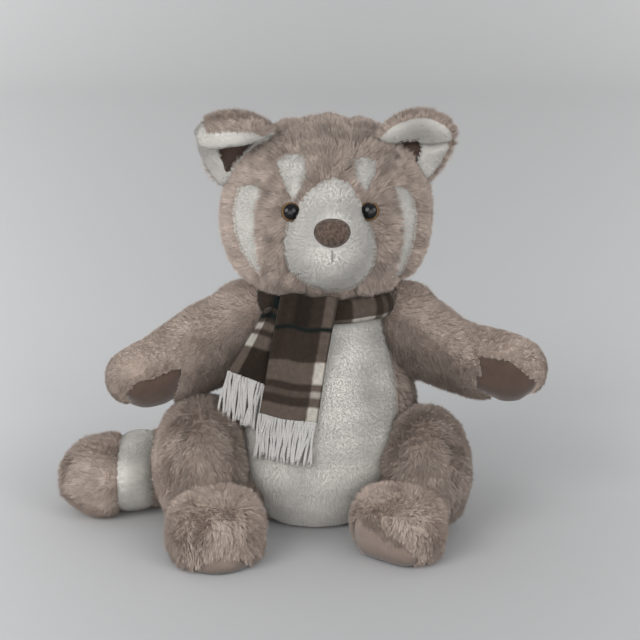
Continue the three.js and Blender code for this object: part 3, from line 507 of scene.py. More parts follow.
def thread_finish(name, base):
    """Twisted thread or yarn: ply lines run round it."""
    finish = Finish(name)
    along, around = finish.over(CLOTH_MAP)
    ply = finish.node("ShaderNodeMath", {"operation": "SINE"}, {0: around * 12.566 + along * 2600})
    fuzz = finish.noise(finish.place(), 1800, 3)
    shade = ply * 0.07 + fuzz * 0.3 + 0.8
    return finish.done(Base_Color=finish.scaled(base, shade),
                       Roughness=0.85 + fuzz * 0.15, Sheen_Weight=0.2,
                       Normal=finish.bumped(ply * 0.5 + fuzz * 0.4, 0.7, 0.0006))


def eye_finish(name):
    """Glossy eye: black pupil, amber ring with fine spokes, dark rim."""
    finish = Finish(name)
    out = finish.node("ShaderNodeAttribute", {"attribute_name": "from_axis"}, output="Fac")
    spokes = finish.noise(finish.place(), 900, 3)
    ring = finish.scaled(trim_settings().iris, spokes * 1.1 + 0.45)
    inner, outer = finish.ramp(out, 0.0060, 0.0064), finish.ramp(out, 0.0071, 0.0074)
    base = finish.mixed(inner, (0.004, 0.004, 0.005), ring)
    return finish.done(Base_Color=finish.mixed(outer, base, (0.02, 0.014, 0.01)),
                       Roughness=0.05 + spokes * 0.03, Specular_IOR_Level=0.28)


def plaid_finish(name):
    """Plaid fleece: bands along and across the cloth, over a fine nap."""
    finish, trims = Finish(name), trim_settings()
    u, v = finish.over(CLOTH_MAP)
    where = finish.place()
    nap, fuzz = finish.noise(where, 1500, 4), finish.noise(where, 260, 3)
    u, v = u + (fuzz - 0.5) * 0.0006, v + (fuzz - 0.5) * 0.0008

    def band(at, low, high, soft=0.0010):
        return finish.ramp(at, low - soft, low + soft) - finish.ramp(at, high - soft, high + soft)

    pale = (band(v, 0.052, 0.068) + band(v, 0.0735, 0.0780) * 0.6 + band(v, 0.0850, 0.118)
            + band(v, 0.130, 0.135) + band(v, 0.139, 0.148))
    base = finish.mixed(pale, trims.fleece_brown, trims.fleece_taupe)
    dark = band(v, -0.01, 0.024) * band(u, 0.012, 0.027, 0.003) + band(v, 0.148, 0.18) * 0.7
    base = finish.mixed(dark * 0.8, base, trims.fleece_dark)
    edge = band(u, 0.0365, 0.0445)
    light = finish.mixed(pale, trims.fleece_taupe, trims.fleece_cream)
    base = finish.mixed(edge, base, light)
    line = band(v, 0.024, 0.0275) + band(v, 0.123, 0.127)
    base = finish.mixed(line, base, trims.fleece_green)
    shade = nap * 0.7 + fuzz * 0.7 + 0.3
    return finish.done(Base_Color=finish.scaled(base, shade), Roughness=0.85 + nap * 0.15,
                       Sheen_Weight=0.08, Sheen_Roughness=0.4, Specular_IOR_Level=0.12,
                       Normal=finish.bumped(nap + fuzz * 0.5, 0.5, 0.0008))


# Measures
def ramped(values, start, end):
    """Goes from 0 to 1 between a start and an end, and holds there."""
    return np.clip((values - start) / (end - start), 0, 1)


def held(value):
    """A number kept between 0 and 1."""
    return min(max(value, 0), 1)


def bell(away, width):
    """1 at no distance, and falling off smoothly over a width."""
    return math.exp(-(away / width) ** 2)


# Shapes
def even_skin(bm, voxel):
    """The outer shape of a bmesh in even squares, with whatever it held inside gone."""
    rough = bpy.data.objects.new("rough", bpy.data.meshes.new("rough"))
    bm.to_mesh(rough.data)
    bm.free()
    bpy.context.scene.collection.objects.link(rough)
    remesh = rough.modifiers.new("even", "REMESH")
    remesh.mode, remesh.voxel_size = "VOXEL", voxel
    shown = rough.evaluated_get(bpy.context.evaluated_depsgraph_get())
    even = bmesh.new()
    even.from_mesh(shown.to_mesh())
    shown.to_mesh_clear()
    bpy.data.objects.remove(rough)
    keep_largest(even)
    return even


def keep_largest(bm):
    """Deletes all but the largest of a bmesh's separate shells."""
    left, islands = set(bm.verts), []
    while left:
        island, edge = set(), [left.pop()]
        while edge:
            vert = edge.pop()
            island.add(vert)
            near = {e.other_vert(vert) for e in vert.link_edges} & left
            left -= near
            edge.extend(near)
        islands.append(island)
    largest = max(islands, key=len)
    bmesh.ops.delete(bm, geom=[v for v in bm.verts if v not in largest], context="VERTS")


def copies(*nodes):
    """Copies of CAD nodes in one bmesh, with their loose triangles joined."""
    bm = bmesh.new()
    for node in nodes:
        bm.from_mesh(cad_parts[node].data)
    bmesh.ops.remove_doubles(bm, verts=bm.verts, dist=1e-6)
    return bm


def verts_of(geometry):
    """The vertices in what a bmesh operator gives back."""
    return [g for g in geometry if isinstance(g, bmesh.types.BMVert)]


def hull(*nodes):
    """The convex hull of CAD nodes."""
    bm = copies(*nodes)
    found = bmesh.ops.convex_hull(bm, input=bm.verts)
    spare = set(verts_of(found["geom_interior"] + found["geom_unused"]))
    bmesh.ops.delete(bm, geom=list(spare), context="VERTS")
    return bm


def turned(profile, steps):
    """A surface turned round the upright axis from a section of radii and heights."""
    bm = bmesh.new()
    verts = [bm.verts.new((r, 0, z)) for r, z in profile]
    edges = [bm.edges.new(pair) for pair in zip(verts, verts[1:])]
    bmesh.ops.spin(bm, geom=verts + edges, cent=(0, 0, 0), axis=(0, 0, 1),
                   angle=2 * math.pi, steps=steps, use_merge=True)
    bmesh.ops.remove_doubles(bm, verts=bm.verts, dist=1e-6)
    bmesh.ops.recalc_face_normals(bm, faces=bm.faces)
    return bm


def add_lump(bm, lump, sign):
    """An egg of filling on one side, to be merged into a form."""
    x, y, z = lump.centre
    place = Matrix.Translation((sign * x, y, z)) @ Matrix.Diagonal((*lump.half, 1))
    bmesh.ops.create_uvsphere(bm, u_segments=24, v_segments=16, radius=1, matrix=place)


def swollen(bm, by):
    """Moves a skin out along its normals."""
    bm.normal_update()
    for vert, normal in [(v, v.normal.copy()) for v in bm.verts]:
        vert.co += normal * by


def stuffed(bm, voxel=0.004, rounds=8, swell=0.0):
    """A soft closed form over a rough one."""
    even = even_skin(bm, voxel)
    for _ in range(rounds):
        bmesh.ops.smooth_vert(even, verts=even.verts, factor=0.5,
                              use_axis_x=True, use_axis_y=True, use_axis_z=True)
    swollen(even, swell)
    return even


def nearest_node(nodes):
    """A test that gives the number of the CAD solid that is nearest to each place."""
    verts, faces, owners = [], [], []
    for number, node in enumerate(nodes):
        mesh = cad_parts[node].data
        start = len(verts)
        verts.extend(v.co for v in mesh.vertices)
        faces.extend([start + v for v in p.vertices] for p in mesh.polygons)
        owners.extend([number] * len(mesh.polygons))
    tree = BVHTree.FromPolygons(verts, faces)
    return lambda places: np.array([owners[tree.find_nearest(p)[2]] for p in places])


class Form:
    """A stuffed skin whose faces belong to sewn panels."""

    def __init__(self, bm, panels, flow, panel_at=None, seam=0.0022, seam_width=0.005,
                 tone=0.5, mottle=1.0, wild=1.0, pile=None):
        self.panels, self.flow, self.mottle, self.wild = panels, flow, mottle, wild
        self.tone = tone if callable(tone) else lambda places, normals: tone
        self.pile = pile or (lambda places: 1.0)
        bmesh.ops.triangulate(bm, faces=bm.faces)
        bm.normal_update()
        self.bm = bm
        self.nearest = panel_at or nearest_node(panels)
        self.face_panels = self.nearest(np.array([f.calc_center_median() for f in bm.faces]))
        self.draw_in_seams(seam, seam_width)
        bm.normal_update()
        self.places = np.array([v.co for v in bm.verts])
        self.normals = np.array([v.normal for v in bm.verts])
        self.triangles = np.array([[v.index for v in f.verts] for f in bm.faces])

    def draw_in_seams(self, depth, width):
        """Sinks the skin where panels meet, as a seam pulls it in."""
        self.bm.verts.index_update()
        self.bm.faces.index_update()
        seams = [v for v in self.bm.verts
                 if len({self.face_panels[f.index] for f in v.link_faces}) > 1]
        if not seams:
            return
        tree = KDTree(len(seams))
        for number, vert in enumerate(seams):
            tree.insert(vert.co, number)
        tree.balance()
        moves = [(v, v.normal * (depth * bell(tree.find(v.co)[2], width)))
                 for v in self.bm.verts]
        for vert, move in moves:
            vert.co -= move

    def tree(self):
        return BVHTree.FromBMesh(self.bm)


# Fur
def ripple(places, wave, seed):
    """A smooth field of about -1 to 1 that wanders over this wavelength."""
    rng = np.random.default_rng(seed)
    waves = rng.normal(size=(10, 3))
    waves *= 2 * math.pi / wave * rng.uniform(0.6, 1.5, (10, 1)) / np.linalg.norm(waves, axis=1)[:, None]
    return np.sin(places @ waves.T + rng.uniform(0, 2 * math.pi, 10)).sum(1) / 3.2


def locks(places, size, seed):
    """Each place's nearest lock centre, and a number that the lock's strands share."""
    table = np.random.default_rng(seed).random((4093, 4))
    cell = np.floor(places / size).astype(np.int64)
    best = np.full(len(places), np.inf)
    centre, share = np.zeros_like(places), np.zeros(len(places))
    for step in np.ndindex(3, 3, 3):
        near = cell + step - np.array((1, 1, 1))
        drawn = table[(near @ np.array((73856093, 19349663, 83492791))) % len(table)]
        dart = (near + drawn[:, :3]) * size
        away = ((dart - places) ** 2).sum(1)
        closer = away < best
        best[closer], centre[closer], share[closer] = away[closer], dart[closer], drawn[closer, 3]
    return centre, share


def across(vectors, normals):
    """The part of each vector that lies along the surface, at unit length."""
    flat = vectors - normals * (vectors * normals).sum(1)[:, None]
    return flat / np.maximum(np.linalg.norm(flat, axis=1), 1e-9)[:, None]


def one_way(*heading):
    """A lie of the pile that is the same everywhere."""
    return lambda places: np.broadcast_to(heading, places.shape)


def away_from(point):
    """A lie of the pile that runs out from a point."""
    return lambda places: places - np.array(point)


def sown(form, per_m2, seed):
    """Random places on a form's triangles, with their normals."""
    rng = np.random.default_rng(seed)
    corners = form.places[form.triangles]
    sides = corners[:, 1:] - corners[:, :1]
    area = np.linalg.norm(np.cross(sides[:, 0], sides[:, 1]), axis=1) / 2
    count = np.floor(area * per_m2 + rng.random(len(area))).astype(int)
    which = np.repeat(np.arange(len(area)), count)
    share = rng.random((len(which), 2))
    over = share.sum(1) > 1
    share[over] = 1 - share[over]
    weights = np.column_stack((1 - share.sum(1), share))[:, :, None]
    normals = (form.normals[form.triangles[which]] * weights).sum(1)
    return (corners[which] * weights).sum(1), normals / np.linalg.norm(normals, axis=1)[:, None]


def strayed(kind, places, wild, rng, seed):
    """How far each strand strays in this way, with its neighbours and by itself."""
    return wild * kind.share * ripple(places, kind.wave, seed) + kind.jitter * rng.normal(size=len(places))


def strands(form, places, normals, pile, nap, seed, clearings=()):
    """Pile at these places: the corners of a blade's two sides, the way they face, and its shade."""
    fur, rng = fur_settings(), np.random.default_rng(seed)
    wild = nap.wild * form.wild
    tall = pile * (1 + strayed(TALL, places, wild, rng, seed + 1)) * form.pile(places)
    comb = across(form.flow(places), normals)
    for middle, radius, push in clearings:
        away = places - np.array(middle)
        gone = np.linalg.norm(away, axis=1) / radius
        tall *= np.clip((gone - CLEAR_FROM) / CLEAR_OVER, CLEAR_LEAST, 1)
        comb += across(away, normals) * np.clip(COMB_REACH - gone, 0, 1)[:, None] * push
    comb = across(comb, normals)
    side = np.cross(normals, comb)
    swirl = strayed(SWIRL, places, wild, rng, seed + 2)
    comb = comb * np.cos(swirl)[:, None] + side * np.sin(swirl)[:, None]
    rise = nap.lift + strayed(RISE, places, wild, rng, seed + 3)
    heading = normals * np.sin(rise)[:, None] + comb * np.cos(rise)[:, None]
    centre, share = locks(places, fur.lock, seed + 4)
    pull = centre - places
    pull -= normals * (pull * normals).sum(1)[:, None]
    tips = places + heading * tall[:, None] + pull * nap.clump * form.wild
    axis = tips - places
    axis /= np.linalg.norm(axis, axis=1)[:, None]
    flat = across(np.cross(axis, comb + 0.1), axis)
    roll = rng.uniform(-STRAND_ROLL, STRAND_ROLL, len(places))[:, None]
    half = fur.strand / 2 * (1 + STRAND_WIDTH_JITTER * rng.normal(size=len(places)))
    half = half[:, None] * (flat * np.cos(roll) + np.cross(axis, flat) * np.sin(roll))
    roots = places - normals * ROOT_DEPTH
    face = np.cross(half, axis)
    face *= BLADE_GAP / np.linalg.norm(face, axis=1)[:, None]
    front = np.stack((roots - half, roots + half, tips), 1) + face[:, None]
    back = np.stack((roots + half, roots - half, tips), 1) - face[:, None]
    corners = np.stack((front, back), 1)
    corners[..., 2] = np.maximum(corners[..., 2], FLOOR_CLEAR)
    mottle = LOCK_CONTRAST * (share - 0.5)
    for number, (depth, wave) in enumerate(SHADE_WAVES):
        mottle += depth * ripple(places, wave, seed + 5 + number)
    shade = nap.mottle * form.mottle * mottle + form.tone(places, normals)
    shade = np.clip(shade + SHADE_JITTER * rng.normal(size=len(places)), *SHADE_LIMITS)
    low = normals + SHADING_LEAN * ROOT_LEAN
    high = normals * TIP_NORMAL + axis * TIP_AXIS * wild + SHADING_LEAN
    return corners, np.stack((low, low, high) * 2, 1), shade


def panel_skin(form, number):
    """One panel's cloth, with the thickness of its backing."""
    bm = form.bm.copy()
    bm.faces.index_update()
    other = [f for f in bm.faces if form.face_panels[f.index] != number]
    bmesh.ops.delete(bm, geom=other, context="FACES")
    bm.normal_update()
    under = [(v, v.co - v.normal * BACKING) for v in bm.verts]
    lining = list(bm.faces)
    bmesh.ops.extrude_face_region(bm, geom=lining, use_keep_orig=True)
    for vert, place in under:
        vert.co = place
    bmesh.ops.reverse_faces(bm, faces=lining)
    bmesh.ops.triangulate(bm, faces=bm.faces)
    return bm


def furred(name, form, number, corners, facing, shade):
    """A panel's cloth and its strands as one mesh, mapped by shade and height."""
    bm = panel_skin(form, number)
    bm.verts.index_update()
    bm.normal_update()
    skin = np.array([v.co for v in bm.verts]).reshape(-1, 3)
    skin_facing = np.array([v.normal for v in bm.verts]).reshape(-1, 3)
    faces = np.array([[v.index for v in f.verts] for f in bm.faces]).reshape(-1, 3)
    bm.free()
    tone = np.clip(0.5 + 0.2 * ripple(skin, 0.03, 7), 0.05, 0.95)
    skin_map = np.column_stack((tone, 0.05 + 0.03 * ripple(skin, 0.017, 8)))
    blades = np.arange(len(corners) * 6).reshape(-1, 3) + len(skin)
    spread = np.broadcast_to((-0.012, 0.012, 0.0) * 2, (len(shade), 6))
    heights = np.broadcast_to((0.02, 0.05, 1.0) * 2, (len(shade), 6))
    blade_map = np.stack((shade[:, None] + spread, heights), 2)
    verts = np.concatenate((skin, corners.reshape(-1, 3)))
    places = np.concatenate((skin_map, blade_map.reshape(-1, 2)))
    triangles = np.concatenate((faces, blades))
    mesh = bpy.data.meshes.new(name)
    mesh.vertices.add(len(verts))
    mesh.vertices.foreach_set("co", verts.astype(np.float32).ravel())
    mesh.loops.add(triangles.size)
    mesh.loops.foreach_set("vertex_index", triangles.astype(np.int32).ravel())
    mesh.polygons.add(len(triangles))
    mesh.polygons.foreach_set("loop_start", np.arange(0, triangles.size, 3, dtype=np.int32))
    mesh.update(calc_edges=True)
    layer = mesh.uv_layers.new(name=STRAND_MAP)
    layer.uv.foreach_set("vector", places[triangles.ravel()].astype(np.float32).ravel())
    mesh.polygons.foreach_set("use_smooth", np.ones(len(mesh.polygons), bool))
    facing = np.concatenate((skin_facing, facing.reshape(-1, 3)))
    mesh.normals_split_custom_set_from_vertices(facing / np.linalg.norm(facing, axis=1)[:, None])
    mesh.update()
    return mesh


def material(name):
    """The finish of this name, made when it is first asked for."""
    if name in finishes:
        return finishes[name]
    fur, trims = fur_settings(), trim_settings()
    makers = {
        "taupe_plush": lambda n: fur_finish(n, fur.taupe_root, fur.taupe_tip, (1.0, 0.84, 0.74)),
        "white_plush": lambda n: fur_finish(n, fur.white_root, fur.white_tip, (1.0, 0.98, 0.94)),
        "brown_suede": lambda n: suede_finish(n, trims.paw_suede),
        # The soles carry painted shade below 16 mm.
        "beige_suede": lambda n: suede_finish(n, trims.sole_suede, 0.016),
        "nose_flock": lambda n: flock_finish(n, trims.flock),
        "fibre_filling": lambda n: fibre_finish(n, (0.8, 0.8, 0.78)),
        "washer_plastic": lambda n: plastic_finish(n, (0.6, 0.6, 0.58)),
        "brown_thread": lambda n: thread_finish(n, trims.thread),
        "white_yarn": lambda n: thread_finish(n, trims.yarn),
        "plaid_fleece": plaid_finish,
        "eye_plastic": eye_finish,
    }
    finishes[name] = makers[name](name + "_finish")
    return finishes[name]


def add_piece(name, mesh, finish, body, node):
    """Puts a finished mesh in the scene in place of a CAD node."""
    piece = bpy.data.objects.new(name, mesh)
    bpy.context.scene.collection.objects.link(piece)
    mesh.materials.clear()
    mesh.materials.append(material(finish))
    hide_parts(node)
    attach(piece, body)
    return piece


def mesh_from(bm, name):
    """A smooth mesh of a bmesh, which is used up."""
    mesh = bpy.data.meshes.new(name)
    bm.to_mesh(mesh)
    bm.free()
    mesh.polygons.foreach_set("use_smooth", np.ones(len(mesh.polygons), bool))
    return mesh


def sparse_under(height):
    """Keeps few of the strands that a form rests on below this height."""
    return lambda p, n: np.where((p[:, 2] < height) & (n[:, 2] < -0.8), UNDERSIDE_SHARE, 1)


def dress(form, body, seed, clearings=(), thin=None):
    """Adds each panel of a form as a padded piece, furred or of suede."""
    fur = fur_settings()
    places, normals = sown(form, fur.per_cm2 * 1e4, seed)
    if thin is not None:
        kept = np.random.default_rng(seed + 9).random(len(places)) < thin(places, normals)
        places, normals = places[kept], normals[kept]
    lean = across(form.flow(places), normals) * fur.white_pile * 0.6
    owner = form.nearest(places + lean)
    for number, (node, finish) in enumerate(form.panels.items()):
        if finish in NAPS:
            mine = owner == number
            pile = fur.taupe_pile if finish == "taupe_plush" else fur.white_pile
            blades = strands(form, places[mine], normals[mine], pile, NAPS[finish], seed + number * 20,
                             clearings)
            mesh = furred(node + "_fur", form, number, *blades)
        else:
            mesh = mesh_from(panel_skin(form, number), node + "_suede")
        add_piece(mesh.name, mesh, finish, body, node)


def spin_yarn(bm, points, radius):
    """Adds a yarn that hangs through these points."""
    ring = bmesh.ops.create_circle(bm, cap_ends=True, segments=6, radius=radius,
                                   matrix=Matrix.Translation(points[0]))["verts"]
    face = ring[0].link_faces[0]
    for before, place in zip(points, points[1:]):
        grown = bmesh.ops.extrude_face_region(bm, geom=[face])["geom"]
        bmesh.ops.translate(bm, verts=verts_of(grown), vec=place - before)
        old = face
        face = next(g for g in grown if isinstance(g, bmesh.types.BMFace))
        if old.is_valid:
            bmesh.ops.delete(bm, geom=[old], context="FACES_ONLY")


def map_yarn(bm):
    """Maps every yarn by its height and by the turn round it."""
    layer = bm.loops.layers.uv.new(CLOTH_MAP)
    for face in bm.faces:
        middle = face.calc_center_median()
        for loop in face.loops:
            away = loop.vert.co - middle
            loop[layer].uv = (loop.vert.co.z, math.atan2(away.y, away.x) / (2 * math.pi))


# Places on the toy
def front_view(places):
    """Where places show on an upright plane through the face, seen from the camera."""
    stage = bpy.context.scene.raccoon_stage
    eye = np.array(stage.aim) + stage.distance * np.array(
        (0, -math.cos(stage.elevation), math.sin(stage.elevation)))
    share = (FACE_PLANE - eye[1]) / (places[:, 1] - eye[1])
    seen = eye + (places - eye) * share[:, None]
    return seen[:, (0, 2)] * 1000


def inside(seen, outline):
    """True where a point lies within a closed outline, by counting the edges to one side of it."""
    x, z = seen.T
    within = np.zeros(len(seen), bool)
    for (x0, z0), (x1, z1) in zip(outline, outline[1:] + outline[:1]):
        crosses = (z0 > z) != (z1 > z)
        at = x0 + (z - z0) * (x1 - x0) / ((z1 - z0) or 1e-9)
        within ^= crosses & (x < at)
    return within


def face_panels(places):
    """The number of the head panel at each place: the sides, and the patches drawn on the front."""
    level = np.cos(HEAD_TURN) * places[:, 0] + np.sin(HEAD_TURN) * places[:, 1]
    panels = np.where(np.abs(level) < GUSSET_HALF, 0, np.where(level < 0, 1, 2))
    seen, ahead = front_view(places), places[:, 1] < PATCHES_FRONT
    for number, outline in enumerate((LEFT_CHEEK, RIGHT_CHEEK, LEFT_BROW, RIGHT_BROW)):
        panels[ahead & inside(seen, outline)] = number + 3
    panels[(places[:, 1] < MUZZLE_FRONT) & inside(seen, MUZZLE)] = 7
    return panels


def middle_of(node):
    """The middle of a CAD node's box."""
    low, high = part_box(node)
    return (low + high) / 2


def dome_of(node, washer):
    """The place where a fitting's dome stands on the face, and the way it faces."""
    points = np.array([v.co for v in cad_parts[node].data.vertices])
    lock = np.array([v.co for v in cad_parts[washer].data.vertices]).mean(0)
    facing = points.mean(0) - lock
    facing /= np.linalg.norm(facing)
    reach = ((points - lock) @ facing).max()
    return Vector(lock + facing * reach), Vector(facing)


def bow_tail(bm):
    """Brings the middle of the tail forward, as it lies beside the thigh."""
    for vert in bm.verts:
        vert.co.y -= TAIL_BOW * bell(vert.co.x - TAIL_BOW_AT, TAIL_BOW_WIDTH)


# Operators
class RACCOON_OT_torso(bpy.types.Operator):
    """Sews the torso's panels: back and sides, belly and seat."""

    bl_idname = "raccoon.torso"
    bl_label = "Torso"

    def execute(self, context):
        panels = {"torso_left_panel": "taupe_plush", "torso_right_panel": "taupe_plush",
                  "belly_panel": "white_plush", "seat_panel": "taupe_plush"}
        bm = copies(*panels, "torso_stuffing")
        for sign in SIDES.values():
            add_lump(bm, TORSO_SHOULDER, sign)
        bm = stuffed(bm, swell=skin_swell())
        for vert in bm.verts:
            low = max(1 - vert.co.z / SEAT_SPREAD_HEIGHT, 0) ** 2
            vert.co.x *= 1 + SEAT_SPREAD_ASIDE * low
            vert.co.y *= 1 + SEAT_SPREAD_AHEAD * low * (vert.co.y < 0)
        # Painted light and shade: the torso is painted darker above and paler towards the floor, where the
        # lower belly faces the light.
        form = Form(bm, panels, one_way(0.0, 0.0, -1.0), self.panel_at(panels),
                    tone=lambda p, n: 0.30 + 0.45 * ramped(p[:, 2], 0.120, 0.030) ** 2)
        forms["torso"] = form
        dress(form, "torso", 100, thin=sparse_under(0.004))
        return {"FINISHED"}

    def panel_at(self, panels):
        """The panel of the nearest CAD solid, with the belly's white carried down to the seat's rim."""
        nearest, names = nearest_node(panels), list(panels)
        belly, seat = names.index("belly_panel"), names.index("seat_panel")

        def found(places):
            panel = nearest(places)
            panel[(panel == seat) & (places[:, 1] < BELLY_FRONT)] = belly
            panel[(places[:, 1] < BELLY_FRONT) & (places[:, 2] < BELLY_FOOT)] = belly
            return panel

        return found


class RACCOON_OT_head(bpy.types.Operator):
    """Sews the head: gusset, sides, cheeks, brows and muzzle."""

    bl_idname = "raccoon.head"
    bl_label = "Head"

    def execute(self, context):
        panels = {"head_gusset": "taupe_plush", "head_left_panel": "taupe_plush",
                  "head_right_panel": "taupe_plush", "left_cheek_patch": "white_plush",
                  "right_cheek_patch": "white_plush", "left_brow_patch": "white_plush",
                  "right_brow_patch": "white_plush", "muzzle": "white_plush"}
        bm = stuffed(copies(*panels, "head_stuffing"), swell=skin_swell())
        forms["head"] = Form(bm, panels, away_from(FACE_FLOW_FROM), face_panels, seam=0.003, mottle=1.5,
                             tone=self.tone)
        clearings = []
        for side, sign in SIDES.items():
            dome = dome_of(side + "_eye", side + "_eye_washer")[0]
            clearings.append((dome + Vector((sign * EYE_CLEARING_ASIDE, 0, 0)), EYE_CLEARING, 2))
        clearings.append((middle_of("nose"), NOSE_CLEARING, 0))
        dress(forms["head"], "head", 300, clearings)
        return {"FINISHED"}

    def tone(self, places, normals):
        """Painted light and shade: paler at the sides, the left one most, as lit from the left, darker
        above, and a painted shadow on the right of the snout.
        """
        x, y, z = places.T
        left, right = ramped(x, -0.040, -0.060), ramped(x, 0.045, 0.070)
        above = ramped(z, 0.250, 0.285)
        snout_shadow = ramped(x, -0.002, 0.018) * ramped(y, -0.055, -0.075)
        return 0.46 + 0.36 * left + 0.13 * right - 0.13 * above - 0.12 * snout_shadow


class RACCOON_OT_face(bpy.types.Operator):
    """Fits the eyes, the nose and the mouth's stitch."""

    bl_idname = "raccoon.face"
    bl_label = "Face"

    def execute(self, context):
        for side, sign in SIDES.items():
            top, outward = dome_of(side + "_eye", side + "_eye_washer")
            facing = Vector((sign * EYE_FACING[0], *EYE_FACING[1:])).normalized()
            top += facing * EYE_DOME - outward * EYE_INSET
            bm = turned(EYE_PROFILE, 40)
            distance = bm.verts.layers.float.new("from_axis")
            for vert in bm.verts:
                vert[distance] = math.hypot(vert.co.x, vert.co.y) if vert.co.z > EYE_RIM_LEVEL else 0.02
            turn = facing.to_track_quat("Z", "Y").to_matrix().to_4x4()
            bmesh.ops.transform(bm, matrix=Matrix.Translation(top) @ turn, verts=bm.verts)
            add_piece(side + "_eye_button", mesh_from(bm, side + "_eye_button"), "eye_plastic", "head",
                      side + "_eye")
        low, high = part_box("nose")
        wide, deep, tall = NOSE_HALF
        bm = bmesh.new()
        bmesh.ops.create_uvsphere(bm, u_segments=64, v_segments=40, radius=1)
        for vert in bm.verts:
            x, y, z = vert.co
            crease = NOSE_CREASE * bell(x, 0.09) * (z < 0.1) * (y < 0)
            full = 1 - 0.16 * max(-z, 0)
            x, z = (math.copysign(abs(c) ** 0.9, c) for c in (x, z))
            vert.co = (x * wide * full, y * deep + crease, z * tall)
        turn = Matrix.Rotation(HEAD_TURN, 4, "Z") @ Matrix.Rotation(NOSE_NOD, 4, "X")
        centre = Vector(((low.x + high.x) / 2, low.y + deep, (low.z + high.z) / 2))
        bmesh.ops.transform(bm, matrix=Matrix.Translation(centre) @ turn, verts=bm.verts)
        add_piece("nose_button", mesh_from(bm, "nose_button"), "nose_flock", "head", "nose")
        self.stitch((low.x + high.x) / 2, low.z)
        return {"FINISHED"}

    def stitch(self, x, top):
        """The mouth: one stitch down from the nose, drawn into the muzzle's pile."""
        skin, points = forms["head"].tree(), []
        for drop in np.linspace(*MOUTH_DROPS, 9):
            hit, normal, _, _ = skin.ray_cast(Vector((x, -0.3, top - drop)), Vector((0, 1, 0)))
            points.append(hit + normal * STITCH_LIFT)
        bm = bmesh.new()
        spin_yarn(bm, points, STITCH_RADIUS)
        map_yarn(bm)
        add_piece("mouth_thread", mesh_from(bm, "mouth_thread"), "brown_thread", "head", "mouth_stitch")


class RACCOON_OT_arms(bpy.types.Operator):
    """Sews the arms and their pads."""

    bl_idname = "raccoon.arms"
    bl_label = "Arms"

    def execute(self, context):
        for side, sign in SIDES.items():
            panels = {side + "_arm": "taupe_plush", side + "_paw_pad": "brown_suede"}
            bm = copies(*panels, side + "_arm_stuffing")
            add_lump(bm, ARM_SHOULDER, sign)
            bm = stuffed(bm, voxel=0.0035, swell=skin_swell() + ARM_SWELL)
            self.flatten(bm, sign, LEFT_DIPS if sign < 0 else RIGHT_DIPS)
            form = Form(bm, panels, one_way(sign * 0.9, -0.4, -0.35),
                        self.panel_at(panels, LEFT_PAD if sign < 0 else RIGHT_PAD),
                        tone=self.tone, mottle=0.7, wild=0.65,
                        pile=lambda p: 0.85 - 0.5 * ramped(np.abs(p[:, 0]), 0.100, 0.145))
            dress(form, side + "_arm_body", 500 if sign < 0 else 600)
        return {"FINISHED"}

    def tone(self, places, normals):
        """Painted light and shade: pale above, dark below, and a painted shadow in the crook beside the
        body.
        """
        crook_shadow = ramped(np.abs(places[:, 0]), 0.125, 0.090)
        return 0.46 + 0.30 * normals[:, 2] - 0.30 * crook_shadow * ramped(normals[:, 2], 0.75, 0.15)

    def flatten(self, bm, sign, dips):
        """Lowers the top of an arm where its filling is thin, and its underside where it sags."""
        for vert in bm.verts:
            out = vert.co.x * sign
            level = (vert.co.z - ARM_HEIGHT + ARM_FALL * (out - ARM_ROOT)) / ARM_HALF
            above, below = held(level), held(-level)
            vert.co.z -= above * sum(deep * bell(out - at, wide) for at, wide, deep in dips)
            vert.co.z -= below * ARM_SAG * bell(out - ARM_SAG_AT, ARM_SAG_WIDTH)

    def panel_at(self, panels, outline):
        """The pad where its CAD solid is nearest, and where it is drawn on the arm's front."""
        nearest, middle = nearest_node(panels), middle_of(list(panels)[0]).y
        reach = max(abs(x) for x, _ in outline) / 1000 - PAD_MARGIN

        def found(places):
            panel = nearest(places)
            panel[np.abs(places[:, 0]) > reach] = 0
            panel[inside(front_view(places), outline) & (places[:, 1] < middle)] = 1
            return panel

        return found


